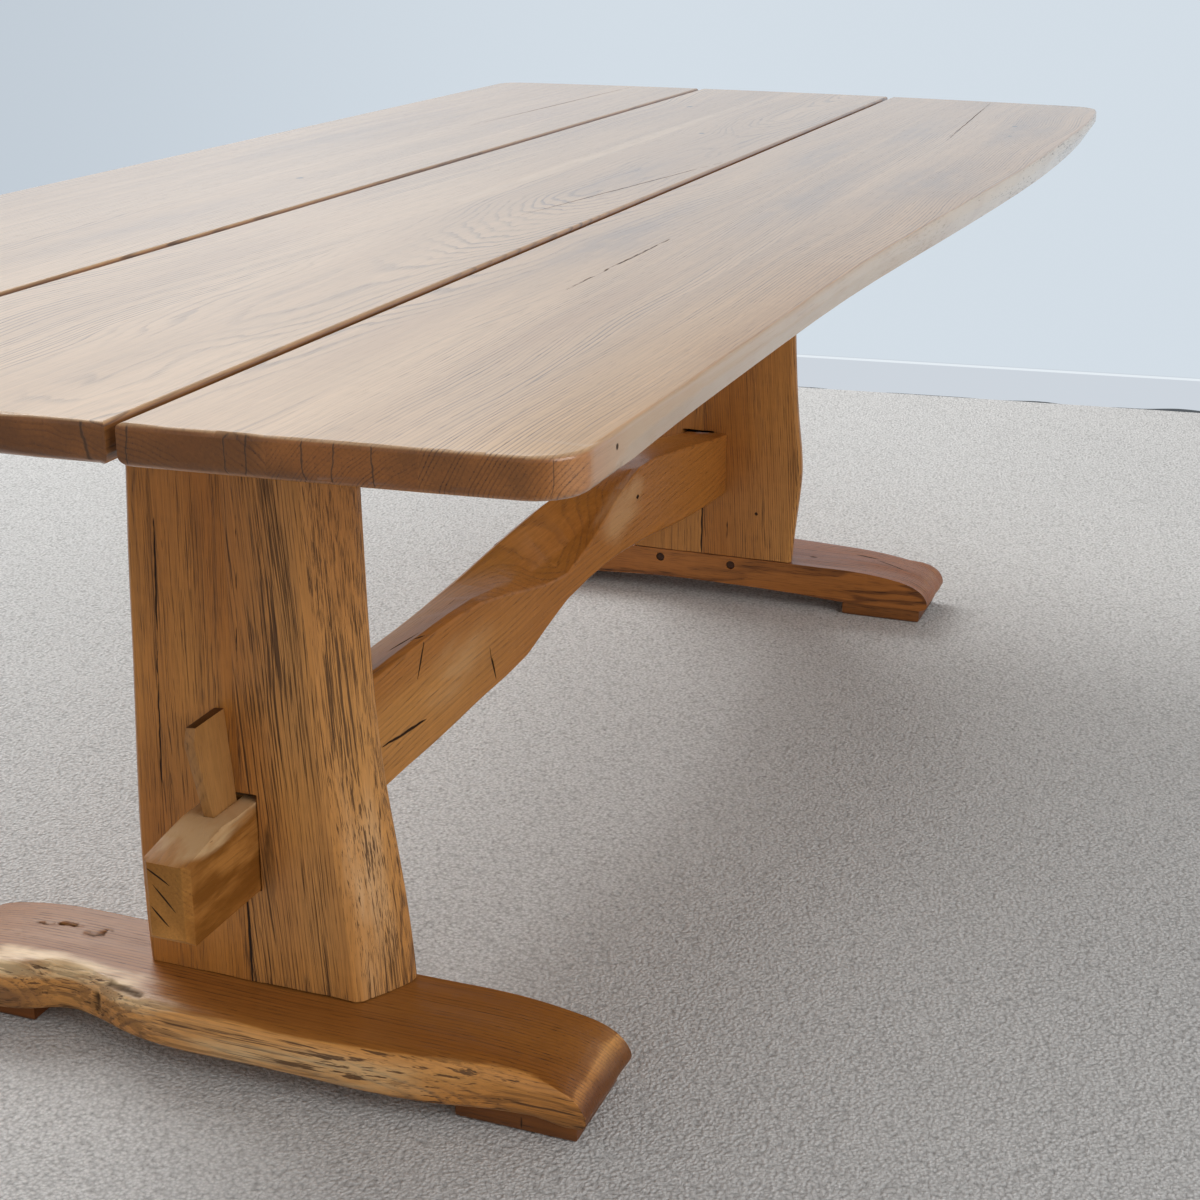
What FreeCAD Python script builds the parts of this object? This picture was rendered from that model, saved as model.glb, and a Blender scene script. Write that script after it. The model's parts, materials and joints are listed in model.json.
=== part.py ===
"""Trestle dining table in solid oak.

Three boards, each glued up from planks, lie on two cross bearers. Each bearer sits on a slab leg
of two glued halves, which is tenoned into a sled foot. A hand-shaped stretcher runs between the
legs, and its through tenons are locked outside them by loose wedges that lift out.

Millimetres. X runs along the table, Y across it, Z up; the origin is on the floor, under the
middle of the top. "near" is the -X end, "left" is the +Y side.
"""
import FreeCAD, Part
import math
import os
import Sketcher

Vector = FreeCAD.Vector

# ------------------------------------------------------------------ driving dimensions

SIZES = [
    # top
    ("table_height", 750, "floor to the upper face"),
    ("top_thickness", 31, "thickness of the planks"),
    ("top_length", 2302, "length over the crowns of both ends"),
    ("top_width", 1062, "width over the widest place"),
    ("board_gap", 8, "open gap between two boards"),
    ("middle_board_width", 329, "width of the middle board"),
    ("near_end_radius", 6700, "plan radius of the near end's bow"),
    ("near_crown", 150, "offset of the near end's crown from the middle"),
    ("far_end_radius", 4000, "plan radius of the far end's bow"),
    ("far_crown", 250, "offset of the far end's crown from the middle"),
    ("left_joint", 318, "glue line of the left board"),
    ("middle_joint", 3, "glue line of the middle board"),
    ("right_inner_joint", -281, "inner glue line of the right board"),
    ("right_outer_joint", -386, "outer glue line of the right board"),
    ("corner_radius", 38, "plan radius of the left corners"),
    ("near_corner_radius", 40, "plan radius of the right corner at the near end"),
    ("far_corner_radius", 48, "plan radius of the right corner at the far end"),
    ("top_arris", 4, "rounding of the upper arrises"),
    ("under_arris", 9, "rounding of the lower arrises"),
    ("edge_swell", 43, "how far the live edge swells out towards the far end"),
    ("edge_undercut", 14, "how far the live edge leans in at the underside"),
    ("undercut_height", 23, "height of the leaning part of the live edge"),
    # legs
    ("leg_spacing", 1416, "between the middle planes of the two legs"),
    ("leg_thickness", 70, "thickness of the slab legs"),
    ("leg_foot_left", 118, "left half's width at the foot"),
    ("leg_top_left", 98, "left half's width at the bearer"),
    ("leg_foot_right", 147, "right half's width at the foot, inner face"),
    ("leg_top_right", 108, "right half's width at the bearer, inner face"),
    ("waney_bevel", 30, "how much narrower the right half is on its outer face"),
    ("waney_depth", 52, "how deep into the thickness the waney bevel runs"),
    ("far_leg_bulge", 34, "swell of the far leg's right edge"),
    ("leg_arris", 5, "bevel of the legs' arrises"),
    # joints between leg, foot and bearer
    ("tenon_thickness", 30, "thickness of the legs' tenons"),
    ("tenon_start", 22, "from the glue line to each tenon"),
    ("tenon_width", 64, "width of each tenon"),
    ("tenon_length", 40, "length of each tenon"),
    ("joint_clearance", 0.2, "clearance round tenons and pegs"),
    ("peg_radius", 6, "radius of the draw pegs"),
    ("peg_length", 84, "length of the draw pegs"),
    ("peg_recess", 1.5, "how deep the pegs sit below the face"),
    ("left_peg", 69, "left peg's distance from the glue line"),
    ("right_peg", 49, "right peg's distance from the glue line"),
    ("peg_depth", 14, "peg axis below the foot's top"),
    # feet
    ("pad_height", 20, "height of the pads"),
    ("foot_height", 54, "height of the foot above its pads"),
    ("foot_half_length", 367, "half length of the feet"),
    ("foot_arch", 8, "rise of the arch under the foot"),
    ("foot_inner", 36, "from the leg's middle plane to the foot's inner face"),
    ("foot_outer", 84, "from the leg's middle plane to the foot's outer face at its ends"),
    ("foot_swell", 28, "how far the foot's live edge swells out"),
    ("nose_height", 34, "how high the foot's nose stands above the floor"),
    ("pad_end", 12, "from the foot's nose back to each pad"),
    ("pad_length", 122, "length of each pad along the foot"),
    ("pad_outer_recess", 10, "how far the pads stand back from the foot's outer face"),
    ("pad_inner_recess", 4, "how far the pads stand back from the foot's inner face"),
    ("pad_heel", 8, "flat of the foot's underside between each pad and the arch"),
    ("pad_chamfer", 3, "chamfer of the pads' lower edges"),
    # bearers
    ("bearer_height", 64, "height of the bearers"),
    ("bearer_width", 84, "width of the bearers along the table"),
    ("bearer_half_length", 448, "half length of the bearers"),
    ("bearer_end", 27, "height of the bearers at their ends"),
    ("bearer_taper", 72, "length of the tapered ends"),
    # screws
    ("screw_radius", 2.5, "radius of the shank"),
    ("screw_head_radius", 5.5, "radius of the head"),
    ("screw_head_height", 3.5, "height of the head"),
    ("screw_grip", 34, "thickness of bearer under each head"),
    ("screw_bite", 22, "how far the shank enters the plank"),
    ("counterbore_radius", 8, "radius of the access holes for the heads"),
    ("middle_screws", 135, "offset of the screws in the middle board"),
    ("inner_screws", 227, "offset of the inner screws in the side boards"),
    ("outer_screws", 410, "offset of the outer screws in the side boards"),
    # stretcher
    ("stretcher_axis", 223, "height of the stretcher's middle at the legs"),
    ("stretcher_width", 78, "width of the stretcher"),
    ("stretcher_rise", 100, "height that the stretcher's sections are given in hundredths of"),
    ("shoulder_width", 12, "width of the bevel along the stretcher's left shoulder"),
    ("shoulder_drop", 9, "height of the bevel along the stretcher's left shoulder"),
    ("under_bevel", 6, "bevel along the stretcher's lower arrises"),
    ("right_bevel_width", 2, "width of the bevel along the stretcher's right arris"),
    ("right_bevel_drop", 3, "height of the bevel along the stretcher's right arris"),
    ("through_height", 94, "height of the through tenons"),
    ("through_width", 50, "width of the through tenons"),
    ("through_offset", 9, "offset of the through tenons to the left"),
    ("through_length", 122, "how far the through tenons stand out of the legs"),
    ("through_chamfer", 7, "chamfer round the end of the through tenons"),
    ("mortise_gap", 6, "open gap above the through tenons"),
    # wedges
    ("wedge_thickness", 11, "thickness of the wedges"),
    ("wedge_width", 43, "width of the wedges where they enter the tenon"),
    ("wedge_above", 92, "height of the wedges above the tenon"),
    ("wedge_below", 84, "depth of the wedges in the tenon"),
    ("wedge_slope", 10.5, "angle of the wedges' outer edge in degrees"),
    ("wedge_lean", 4.6, "lean of the wedges to the left in degrees"),
    ("wedge_bevel", 15, "bevel of the wedges' outer top corner"),
    ("wedge_clearance", 0.25, "clearance on each face of the wedges"),
]

# Derived heights and distances, as expressions on the sheet.
TOP_UNDERSIDE = "(Sizes.table_height - Sizes.top_thickness)"
BEARER_BOTTOM = f"({TOP_UNDERSIDE} - Sizes.bearer_height)"
FOOT_TOP = "(Sizes.pad_height + Sizes.foot_height)"
PAD_FINISH = "(Sizes.foot_half_length - Sizes.pad_end)"
PAD_START = f"({PAD_FINISH} - Sizes.pad_length)"
LEG_RISE = f"({BEARER_BOTTOM} - {FOOT_TOP})"
HALF_SPACING = "(Sizes.leg_spacing / 2)"
HALF_LEG = "(Sizes.leg_thickness / 2)"
HALF_SPAN = f"({HALF_SPACING} - {HALF_LEG})"
LEG_OUTER = f"({HALF_SPACING} + {HALF_LEG})"
HALF_TOP = "(Sizes.top_width / 2)"
HALF_MIDDLE = "(Sizes.middle_board_width / 2)"
SIDE_BOARD = f"({HALF_MIDDLE} + Sizes.board_gap)"
SCREW_SEAT = f"({TOP_UNDERSIDE} - Sizes.screw_grip)"
THROUGH_BOTTOM = "(Sizes.stretcher_axis - Sizes.through_height / 2)"
THROUGH_TOP = "(Sizes.stretcher_axis + Sizes.through_height / 2)"

# End name -> direction along X from the table's middle.
ENDS = {"near": -1, "far": 1}
# Side name -> direction along Y from the glue line.
SIDES = {"left": 1, "right": -1}


def make_sheet(doc):
    """Write every driving dimension into a cell of its own, with its alias and meaning."""
    sheet = doc.addObject("Spreadsheet::Sheet", "Sizes")
    for row, (alias, value, meaning) in enumerate(SIZES, start=1):
        sheet.set(f"A{row}", meaning)
        sheet.set(f"B{row}", str(value))
        sheet.setAlias(f"B{row}", alias)
    doc.recompute()
    return sheet


# ------------------------------------------------------------------ modelling helpers

def value(obj, text):
    """The number that an expression gives at present."""
    result = obj.evalExpression(text)
    return float(getattr(result, "Value", result))


def new_body(doc, label):
    body = doc.addObject("PartDesign::Body", label)
    body.Label = label
    return body


def origin_plane(body, role):
    for feature in body.Origin.OriginFeatures:
        if feature.Role == role:
            return feature
    raise ValueError(role)


def new_sketch(body, name, role, height="0"):
    """A sketch on one of the body's origin planes, raised along its normal by height."""
    sketch = body.newObject("Sketcher::SketchObject", name)
    sketch.AttachmentSupport = [(origin_plane(body, role), "")]
    sketch.MapMode = "FlatFace"
    sketch.setExpression("AttachmentOffset.Base.z", height)
    return sketch


def pin(sketch, geometry, end, point, name):
    """Hold one point of a sketch at a pair of expressions."""
    for axis, text in zip("XY", point):
        index = sketch.addConstraint(
            Sketcher.Constraint(f"Distance{axis}", -1, 1, geometry, end, value(sketch, text)))
        label = f"{name}{axis}"
        sketch.renameConstraint(index, label)
        sketch.setExpression(f"Constraints.{label}", text)


def draw_outline(sketch, edges, prefix="edge"):
    """Draw a closed outline. Each edge is a list of points, each point a pair of expressions: two
    points make a line, more are the control points of a spline, and a radius as a third item
    after two points makes an arc. An edge starts where the one before it ends."""
    drawn = []
    for number, edge in enumerate(edges):
        name = f"{prefix}{number}"
        radius = edge[2] if len(edge) == 3 and isinstance(edge[2], str) else None
        points = edge[:2] if radius else edge
        places = [Vector(value(sketch, x), value(sketch, y), 0) for x, y in points]
        if radius:
            drawn.append(draw_arc(sketch, places, radius, name))
        elif len(points) == 2:
            drawn.append(sketch.addGeometry(Part.LineSegment(*places), False))
        else:
            drawn.append(draw_spline(sketch, points, places, name))
        if len(points) == 2:
            pin(sketch, drawn[-1], 1, points[0], name)
    for first, second in zip(drawn, drawn[1:] + drawn[:1]):
        sketch.addConstraint(Sketcher.Constraint("Coincident", first, 2, second, 1))


def draw_arc(sketch, places, radius, name):
    """An arc between two places that bows to the right of the way from one to the other."""
    start, end = places
    size = value(sketch, radius)
    chord = end - start
    rise = size - math.sqrt(size ** 2 - (chord.Length / 2) ** 2)
    right = Vector(chord.y, -chord.x, 0).normalize()
    middle = (start + end) * 0.5 + right * rise
    arc = Part.Arc(start, middle, end).toShape().Curve
    centre = arc.Center
    first = math.atan2(start.y - centre.y, start.x - centre.x)
    last = math.atan2(end.y - centre.y, end.x - centre.x)
    if last < first:
        last += 2 * math.pi
    circle = Part.Circle(centre, Vector(0, 0, 1), size)
    index = sketch.addGeometry(Part.ArcOfCircle(circle, first, last), False)
    bound = sketch.addConstraint(Sketcher.Constraint("Radius", index, size))
    sketch.renameConstraint(bound, f"{name}Radius")
    sketch.setExpression(f"Constraints.{name}Radius", radius)
    return index


def draw_spline(sketch, points, places, name):
    """A spline whose control points are pinned to their expressions."""
    degree = min(3, len(points) - 1)
    curve = Part.BSplineCurve(places, None, None, False, degree, None, False)
    index = sketch.addGeometry(curve, False)
    poles = [sketch.addGeometry(Part.Circle(place, Vector(0, 0, 1), 5), True) for place in places]
    sketch.addConstraint(Sketcher.Constraint("Weight", poles[0], 1.0))
    for pole in poles[1:]:
        sketch.addConstraint(Sketcher.Constraint("Equal", poles[0], pole))
    for order, pole in enumerate(poles):
        sketch.addConstraint(Sketcher.Constraint(
            "InternalAlignment:Sketcher::BSplineControlPoint", pole, 3, index, order))
    sketch.exposeInternalGeometry(index)
    for order, (pole, point) in enumerate(zip(poles[:-1], points[:-1])):
        pin(sketch, pole, 3, point, f"{name}Pole{order}")
    return index


def rectangle(low_x, high_x, low_y, high_y):
    """The four edges of a rectangle between expressions."""
    corners = [(low_x, low_y), (high_x, low_y), (high_x, high_y), (low_x, high_y)]
    return [[a, b] for a, b in zip(corners, corners[1:] + corners[:1])]


def draw_circle(sketch, x, y, radius, name):
    """A circle with its centre and radius bound to expressions."""
    centre = Vector(value(sketch, x), value(sketch, y), 0)
    index = sketch.addGeometry(Part.Circle(centre, Vector(0, 0, 1), value(sketch, radius)), False)
    pin(sketch, index, 3, (x, y), name)
    bound = sketch.addConstraint(Sketcher.Constraint("Radius", index, value(sketch, radius)))
    sketch.renameConstraint(bound, f"{name}Radius")
    sketch.setExpression(f"Constraints.{name}Radius", radius)


def add_feature(body, kind, name, sketch, length, midplane=False, reverse=False):
    """A Pad or Pocket of a sketch by a bound length."""
    feature = body.newObject(f"PartDesign::{kind}", name)
    feature.Profile = sketch
    feature.Midplane = midplane
    feature.Reversed = reverse
    feature.setExpression("Length", length)
    sketch.Visibility = False
    return feature


def add_loft(body, kind, name, sketches, ruled):
    """An additive or subtractive loft through sketches that lie on parallel planes."""
    loft = body.newObject(f"PartDesign::{kind}Loft", name)
    loft.Profile = sketches[0]
    loft.Sections = sketches[1:]
    loft.Ruled = ruled
    return loft


def dress(body, kind, name, setting, size, wanted):
    """A Fillet or Chamfer on the edges of the body's last feature that pass a test."""
    body.Document.recompute()
    base = body.Tip
    names = [f"Edge{i}" for i, edge in enumerate(base.Shape.Edges, start=1) if wanted(edge)]
    if not names:
        raise ValueError(f"{body.Label}: no edge for {name}")
    feature = body.newObject(f"PartDesign::{kind}", name)
    feature.Base = (base, names)
    feature.setExpression(setting, size)
    return feature


def edge_middle(edge):
    return edge.valueAt((edge.FirstParameter + edge.LastParameter) / 2)


def is_level(edge, height):
    """Whether the whole edge lies at a height."""
    return all(abs(vertex.Z - height) < 0.01 for vertex in edge.Vertexes)


# ------------------------------------------------------------------ top

def end_x(end, y):
    """X of an end's bowed outline at a place across the table."""
    way = ENDS[end]
    radius, crown = f"Sizes.{end}_end_radius", f"Sizes.{end}_crown"
    bow = f"({radius} - sqrt({radius}^2 - ({y} - {crown})^2))"
    return f"({way}) * (Sizes.top_length / 2 - {bow})"


def plank_outline(low, high):
    """The plan of a plank between two lines along the table, with both ends bowed."""
    near_low, near_high = (end_x("near", low), low), (end_x("near", high), high)
    far_low, far_high = (end_x("far", low), low), (end_x("far", high), high)
    return [
        [near_low, far_low],
        [far_low, far_high, "Sizes.far_end_radius"],
        [far_high, near_high],
        [near_high, near_low, "Sizes.near_end_radius"],
    ]


# Control points of the live edge from the near to the far end: share of the half length, share
# of the swell and share of the undercut.
LIVE_EDGE = [(-1, 1.0, -0.8), (-0.89, 0.97, 0.7), (-0.66, 0.90, 0.8), (-0.34, 0.93, 0.8),
             (-0.04, 0.50, 0.4), (0.26, 0.12, 0.3), (0.45, 0, 0.4), (0.66, 0, 0.6), (0.85, 0, 1.2),
             (1, 0.5, 1.5)]
# How far the offcut of the leaning part overlaps the wall above it, and runs past the ends.
OFFCUT_OVERLAP = "1.5"
OFFCUT_BEYOND = "20"


def live_edge(lean, outset="0", beyond="0"):
    """Control points of the right board's live edge, leaned in by a share of the undercut, moved
    out by outset and carried beyond both ends."""
    points = []
    for share, swell, undercut in LIVE_EDGE:
        y = (f"(-{HALF_TOP} + {swell} * Sizes.edge_swell"
             f" + {undercut * lean} * Sizes.edge_undercut - {outset})")
        x = f"({share} * Sizes.top_length / 2)"
        if abs(share) == 1:
            x = f"({end_x('near' if share < 0 else 'far', y)} + ({share}) * {beyond})"
        points.append((x, y))
    return points


def live_plank_outline(high):
    """The plan of the right board's outer plank: its outer edge is the tree's own."""
    edge = live_edge(0)
    near_high, far_high = (end_x("near", high), high), (end_x("far", high), high)
    return [
        edge,
        [edge[-1], far_high, "Sizes.far_end_radius"],
        [far_high, near_high],
        [near_high, edge[0], "Sizes.near_end_radius"],
    ]


def drill_planks(body, holes):
    """Blind pilot holes in the underside of a plank, over both bearers."""
    if not holes:
        return
    sketch = new_sketch(body, "PilotHoles", "XY_Plane", TOP_UNDERSIDE)
    for end, way in ENDS.items():
        for order, hole in enumerate(holes):
            draw_circle(sketch, f"({way}) * {HALF_SPACING}", hole,
                        "Sizes.screw_radius + 0.05", f"{end}{order}")
    add_feature(body, "Pocket", "Pilots", sketch, "Sizes.screw_bite + 1", reverse=True)


def round_plank(body, free_edges):
    """Round a plank's arrises, except along its glue lines. free_edges are the places of its
    straight long edges that stay open."""
    sheet = body.Document.Sizes
    top, bottom = sheet.table_height, value(sheet, TOP_UNDERSIDE)

    def is_open(edge):
        low, high = edge.BoundBox.YMin, edge.BoundBox.YMax
        if high - low > 1e-3:
            return True
        return any(abs(low - value(sheet, place)) < 0.01 for place in free_edges)

    dress(body, "Fillet", "UpperArris", "Radius", "Sizes.top_arris",
          lambda edge: is_level(edge, top) and is_open(edge))
    dress(body, "Fillet", "LowerArris", "Radius", "Sizes.under_arris",
          lambda edge: is_level(edge, bottom) and is_open(edge))


def make_plank(doc, label, low, high, free_edges, holes, corner=None):
    """A straight plank with bowed ends; corner is the place of its free outer edge, if its
    corners are rounded in plan."""
    body = new_body(doc, label)
    sketch = new_sketch(body, "Plan", "XY_Plane", TOP_UNDERSIDE)
    draw_outline(sketch, plank_outline(low, high))
    add_feature(body, "Pad", "Thickness", sketch, "Sizes.top_thickness")
    if corner:
        outer = value(doc.Sizes, corner)
        dress(body, "Fillet", "Corners", "Radius", "Sizes.corner_radius",
              lambda edge: edge.BoundBox.ZLength > 1 and abs(edge_middle(edge).y - outer) < 1)
    round_plank(body, free_edges)
    drill_planks(body, holes)
    return body


def lean_live_edge(body):
    """Cut the lower part of the live edge back, so that it leans in towards the underside."""
    outside = f"(-{HALF_TOP} - 30)"
    sections = []
    for name, height, lean, outset in (
            ("Underside", f"{TOP_UNDERSIDE} - 1", 1, "0"),
            ("Ridge", f"{TOP_UNDERSIDE} + Sizes.undercut_height", 0, OFFCUT_OVERLAP)):
        sketch = new_sketch(body, f"{name}Offcut", "XY_Plane", height)
        edge = live_edge(lean, outset, OFFCUT_BEYOND)
        far_corner, near_corner = (edge[-1][0], outside), (edge[0][0], outside)
        draw_outline(sketch, [
            edge,
            [edge[-1], far_corner],
            [far_corner, near_corner],
            [near_corner, edge[0]],
        ])
        sections.append(sketch)
    add_loft(body, "Subtractive", "Undercut", sections, ruled=True)


def make_live_plank(doc, label, high, holes):
    """The outer plank of the right board, whose live edge leans in towards the underside."""
    body = new_body(doc, label)
    sketch = new_sketch(body, "Plan", "XY_Plane", TOP_UNDERSIDE)
    draw_outline(sketch, live_plank_outline(high))
    add_feature(body, "Pad", "Thickness", sketch, "Sizes.top_thickness")
    joint = value(doc.Sizes, high)
    for end, way in ENDS.items():
        dress(body, "Fillet", f"{end}Corner", "Radius", f"Sizes.{end}_corner_radius",
              lambda edge: (edge.BoundBox.ZLength > 1 and edge_middle(edge).x * way > 0
                            and edge_middle(edge).y < joint - 1))
    round_plank(body, [])
    lean_live_edge(body)
    drill_planks(body, holes)
    return body


def make_top(doc):
    """Seven planks in three boards: two in the left, two in the middle, three in the right."""
    left_edge, right_edge = SIDE_BOARD, f"(-{SIDE_BOARD})"
    middle_left, middle_right = HALF_MIDDLE, f"(-{HALF_MIDDLE})"
    left_joint, middle_joint = "Sizes.left_joint", "Sizes.middle_joint"
    inner_joint, outer_joint = "Sizes.right_inner_joint", "Sizes.right_outer_joint"
    return [
        make_plank(doc, "left_board_outer_plank", left_joint, HALF_TOP, [HALF_TOP],
                   ["Sizes.outer_screws"], corner=HALF_TOP),
        make_plank(doc, "left_board_inner_plank", left_edge, left_joint, [left_edge],
                   ["Sizes.inner_screws"]),
        make_plank(doc, "middle_board_left_plank", middle_joint, middle_left, [middle_left],
                   ["Sizes.middle_screws"]),
        make_plank(doc, "middle_board_right_plank", middle_right, middle_joint, [middle_right],
                   ["-Sizes.middle_screws"]),
        make_plank(doc, "right_board_inner_plank", inner_joint, right_edge, [right_edge],
                   ["-Sizes.inner_screws"]),
        make_plank(doc, "right_board_middle_plank", outer_joint, inner_joint, [], []),
        make_live_plank(doc, "right_board_outer_plank", outer_joint, ["-Sizes.outer_screws"]),
    ]


# ------------------------------------------------------------------ legs

# Control points of the legs' outer edges. The left edge is alike on both; the right edge, where
# the tree's own edge was kept, is named for the leg it belongs to.
LEG_EDGES = {
    "left": [(0, 0, 0), (0, 4, 0.13), (0, -1, 0.36), (1, 12, 0.62), (1, 0, 1)],
    "near": [(0, 0, 0), (0, -5, 0.14), (1, 16, 0.28), (1, -3, 0.62), (1, 0, 1)],
    "far": [(0, 0, 0), (0, 4, 0.12), (1, 58, 0.26), (1, 40, 0.38), (1, 32, 0.66), (1, 24, 1)],
}


def leg_edge(end, side):
    """Control points of a leg's outer edge from foot to bearer, as seen along the table. Each row
    below holds the share of the way from the foot's width to the top's, an added width and the
    share of the leg's rise."""
    foot, top = f"Sizes.leg_foot_{side}", f"Sizes.leg_top_{side}"
    rows = LEG_EDGES[side] if side == "left" else LEG_EDGES[end]
    points = []
    for share, added, rise in rows:
        across = f"({SIDES[side]}) * ({foot} + {share} * ({top} - {foot}) + {added})"
        points.append((across, f"({FOOT_TOP} + {rise} * {LEG_RISE})"))
    return points


def tenon_rectangle(side, clearance="0"):
    """The plan of the tenon on one leg half, or of its mortise with a clearance."""
    half = f"(Sizes.tenon_thickness / 2 + {clearance})"
    near = f"(Sizes.tenon_start - {clearance})"
    far = f"(Sizes.tenon_start + Sizes.tenon_width + {clearance})"
    if side == "left":
        return rectangle(f"-{half}", half, near, far)
    return rectangle(f"-{half}", half, f"-{far}", f"-{near}")


def peg_places():
    """Side name and place of both draw pegs, across the table and above the floor."""
    height = f"({FOOT_TOP} - Sizes.peg_depth)"
    return [("left", "Sizes.left_peg", height), ("right", "-Sizes.right_peg", height)]


def make_leg_half(doc, end, side):
    """Half of a slab leg, glued to the other along the middle, with a tenon at each end and its
    share of the mortise for the stretcher."""
    way = ENDS[end]
    body = new_body(doc, f"{end}_leg_{side}_half")
    sketch = new_sketch(body, "Face", "YZ_Plane")
    edge = leg_edge(end, side)
    middle_low, middle_high = ("0", FOOT_TOP), ("0", BEARER_BOTTOM)
    draw_outline(sketch, [
        [middle_low, edge[0]],
        edge,
        [edge[-1], middle_high],
        [middle_high, middle_low],
    ])
    add_feature(body, "Pad", "Slab", sketch, "Sizes.leg_thickness", midplane=True)

    rise = value(doc.Sizes, LEG_RISE)

    def is_arris(edge):
        return edge.BoundBox.ZLength > 0.9 * rise and abs(edge_middle(edge).y) > 20

    if side == "right":
        dress(body, "Chamfer", "Wane", "Size", "Sizes.waney_depth",
              lambda edge: is_arris(edge) and edge_middle(edge).x * way > 0)
        body.Tip.ChamferType = "Two distances"
        body.Tip.setExpression("Size2", "Sizes.waney_bevel")
    dress(body, "Chamfer", "Arrises", "Size", "Sizes.leg_arris", is_arris)

    for name, height in (("FootTenon", f"{FOOT_TOP} - Sizes.tenon_length"),
                         ("BearerTenon", BEARER_BOTTOM)):
        sketch = new_sketch(body, f"{name}Plan", "XY_Plane", height)
        draw_outline(sketch, tenon_rectangle(side))
        add_feature(body, "Pad", name, sketch, "Sizes.tenon_length")

    mortise = new_sketch(body, "MortiseOutline", "YZ_Plane")
    half = "(Sizes.through_width / 2 + Sizes.joint_clearance)"
    draw_outline(mortise, rectangle(
        f"Sizes.through_offset - {half}", f"Sizes.through_offset + {half}",
        THROUGH_BOTTOM, f"{THROUGH_TOP} + Sizes.mortise_gap"))
    add_feature(body, "Pocket", "StretcherMortise", mortise, "Sizes.leg_thickness + 20",
                midplane=True)

    pegs = new_sketch(body, "PegOutline", "YZ_Plane")
    for peg_side, across, height in peg_places():
        if peg_side == side:
            draw_circle(pegs, across, height, "Sizes.peg_radius + Sizes.joint_clearance", "peg")
    add_feature(body, "Pocket", "PegHole", pegs, "Sizes.tenon_thickness + 2", midplane=True)
    body.setExpression("Placement.Base.x", f"({way}) * {HALF_SPACING}")
    return body


# ------------------------------------------------------------------ feet, pads and pegs

# Control points of each foot's live edge: share of the half length, and share of the swell.
FOOT_EDGES = {
    "near": [(1.06, 0.0), (0.82, 0.3), (0.67, 0.8), (0.55, -0.5), (0.38, 0.15), (0.22, 1.05),
             (-0.05, 1.0), (-0.33, 1.0), (-0.60, 0.55), (-0.82, -0.2), (-1.06, 0.1)],
    "far": [(1.06, 0.0), (0.70, 0.2), (0.35, 0.9), (-0.10, 1.1), (-0.45, 0.8), (-0.75, 0.1),
            (-1.06, 0.1)],
}


def foot_profile():
    """The side view of a foot: flat where the leg stands and over the pads, arched between the
    pads, and drawn down to a rounded nose at each end."""
    half, pad_top = "Sizes.foot_half_length", "Sizes.pad_height"
    heel = f"({PAD_START} - Sizes.pad_heel)"
    nose = [
        (f"({half} - 12)", pad_top),
        (f"({half} + 3)", f"({pad_top} + 3)"),
        (f"({half} + 3)", "(Sizes.nose_height + 6)"),
        (f"({half} - 18)", f"({FOOT_TOP} - 14)"),
        (f"({half} - 60)", f"({FOOT_TOP} - 5)"),
        (f"({half} - 120)", f"({FOOT_TOP} + 1)"),
        (f"({half} - 175)", FOOT_TOP),
    ]
    other_nose = [(f"-{across}", height) for across, height in reversed(nose)]
    arch = [(f"-{heel}", pad_top), ("0", f"({pad_top} + 2 * Sizes.foot_arch)"), (heel, pad_top)]
    return [
        arch,
        [arch[-1], nose[0]],
        nose,
        [nose[-1], other_nose[0]],
        other_nose,
        [other_nose[-1], arch[0]],
    ]


def make_foot(doc, end):
    """A sled foot: flat towards the middle of the table, with the tree's own edge outside."""
    way = ENDS[end]
    body = new_body(doc, f"{end}_foot")
    inner = f"({-way}) * Sizes.foot_inner"
    side_view = new_sketch(body, "SideView", "YZ_Plane", inner)
    draw_outline(side_view, foot_profile())
    blank = "(Sizes.foot_inner + Sizes.foot_outer + 1.5 * Sizes.foot_swell)"
    add_feature(body, "Pad", "Blank", side_view, blank, reverse=way < 0)

    edge = [(f"({way}) * (Sizes.foot_outer + {swell} * Sizes.foot_swell)",
             f"{share} * Sizes.foot_half_length") for share, swell in FOOT_EDGES[end]]
    beyond = f"({way}) * (Sizes.foot_outer + 2 * Sizes.foot_swell)"
    offcut = new_sketch(body, "OffcutPlan", "XY_Plane")
    draw_outline(offcut, [
        edge,
        [edge[-1], (beyond, edge[-1][1])],
        [(beyond, edge[-1][1]), (beyond, edge[0][1])],
        [(beyond, edge[0][1]), edge[0]],
    ])
    add_feature(body, "Pocket", "LiveEdge", offcut, f"{FOOT_TOP} + 10", reverse=True)

    mortises = new_sketch(body, "MortisePlan", "XY_Plane", FOOT_TOP)
    for side in SIDES:
        draw_outline(mortises, tenon_rectangle(side, "Sizes.joint_clearance"), side)
    add_feature(body, "Pocket", "Mortises", mortises, "Sizes.tenon_length + 1")

    pegs = new_sketch(body, "PegOutline", "YZ_Plane", inner)
    for side, across, height in peg_places():
        draw_circle(pegs, across, height, "Sizes.peg_radius + Sizes.joint_clearance", side)
    add_feature(body, "Pocket", "PegHoles", pegs, "Sizes.peg_length + Sizes.peg_recess + 1",
                reverse=way > 0)
    body.setExpression("Placement.Base.x", f"({way}) * {HALF_SPACING}")
    return body


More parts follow.
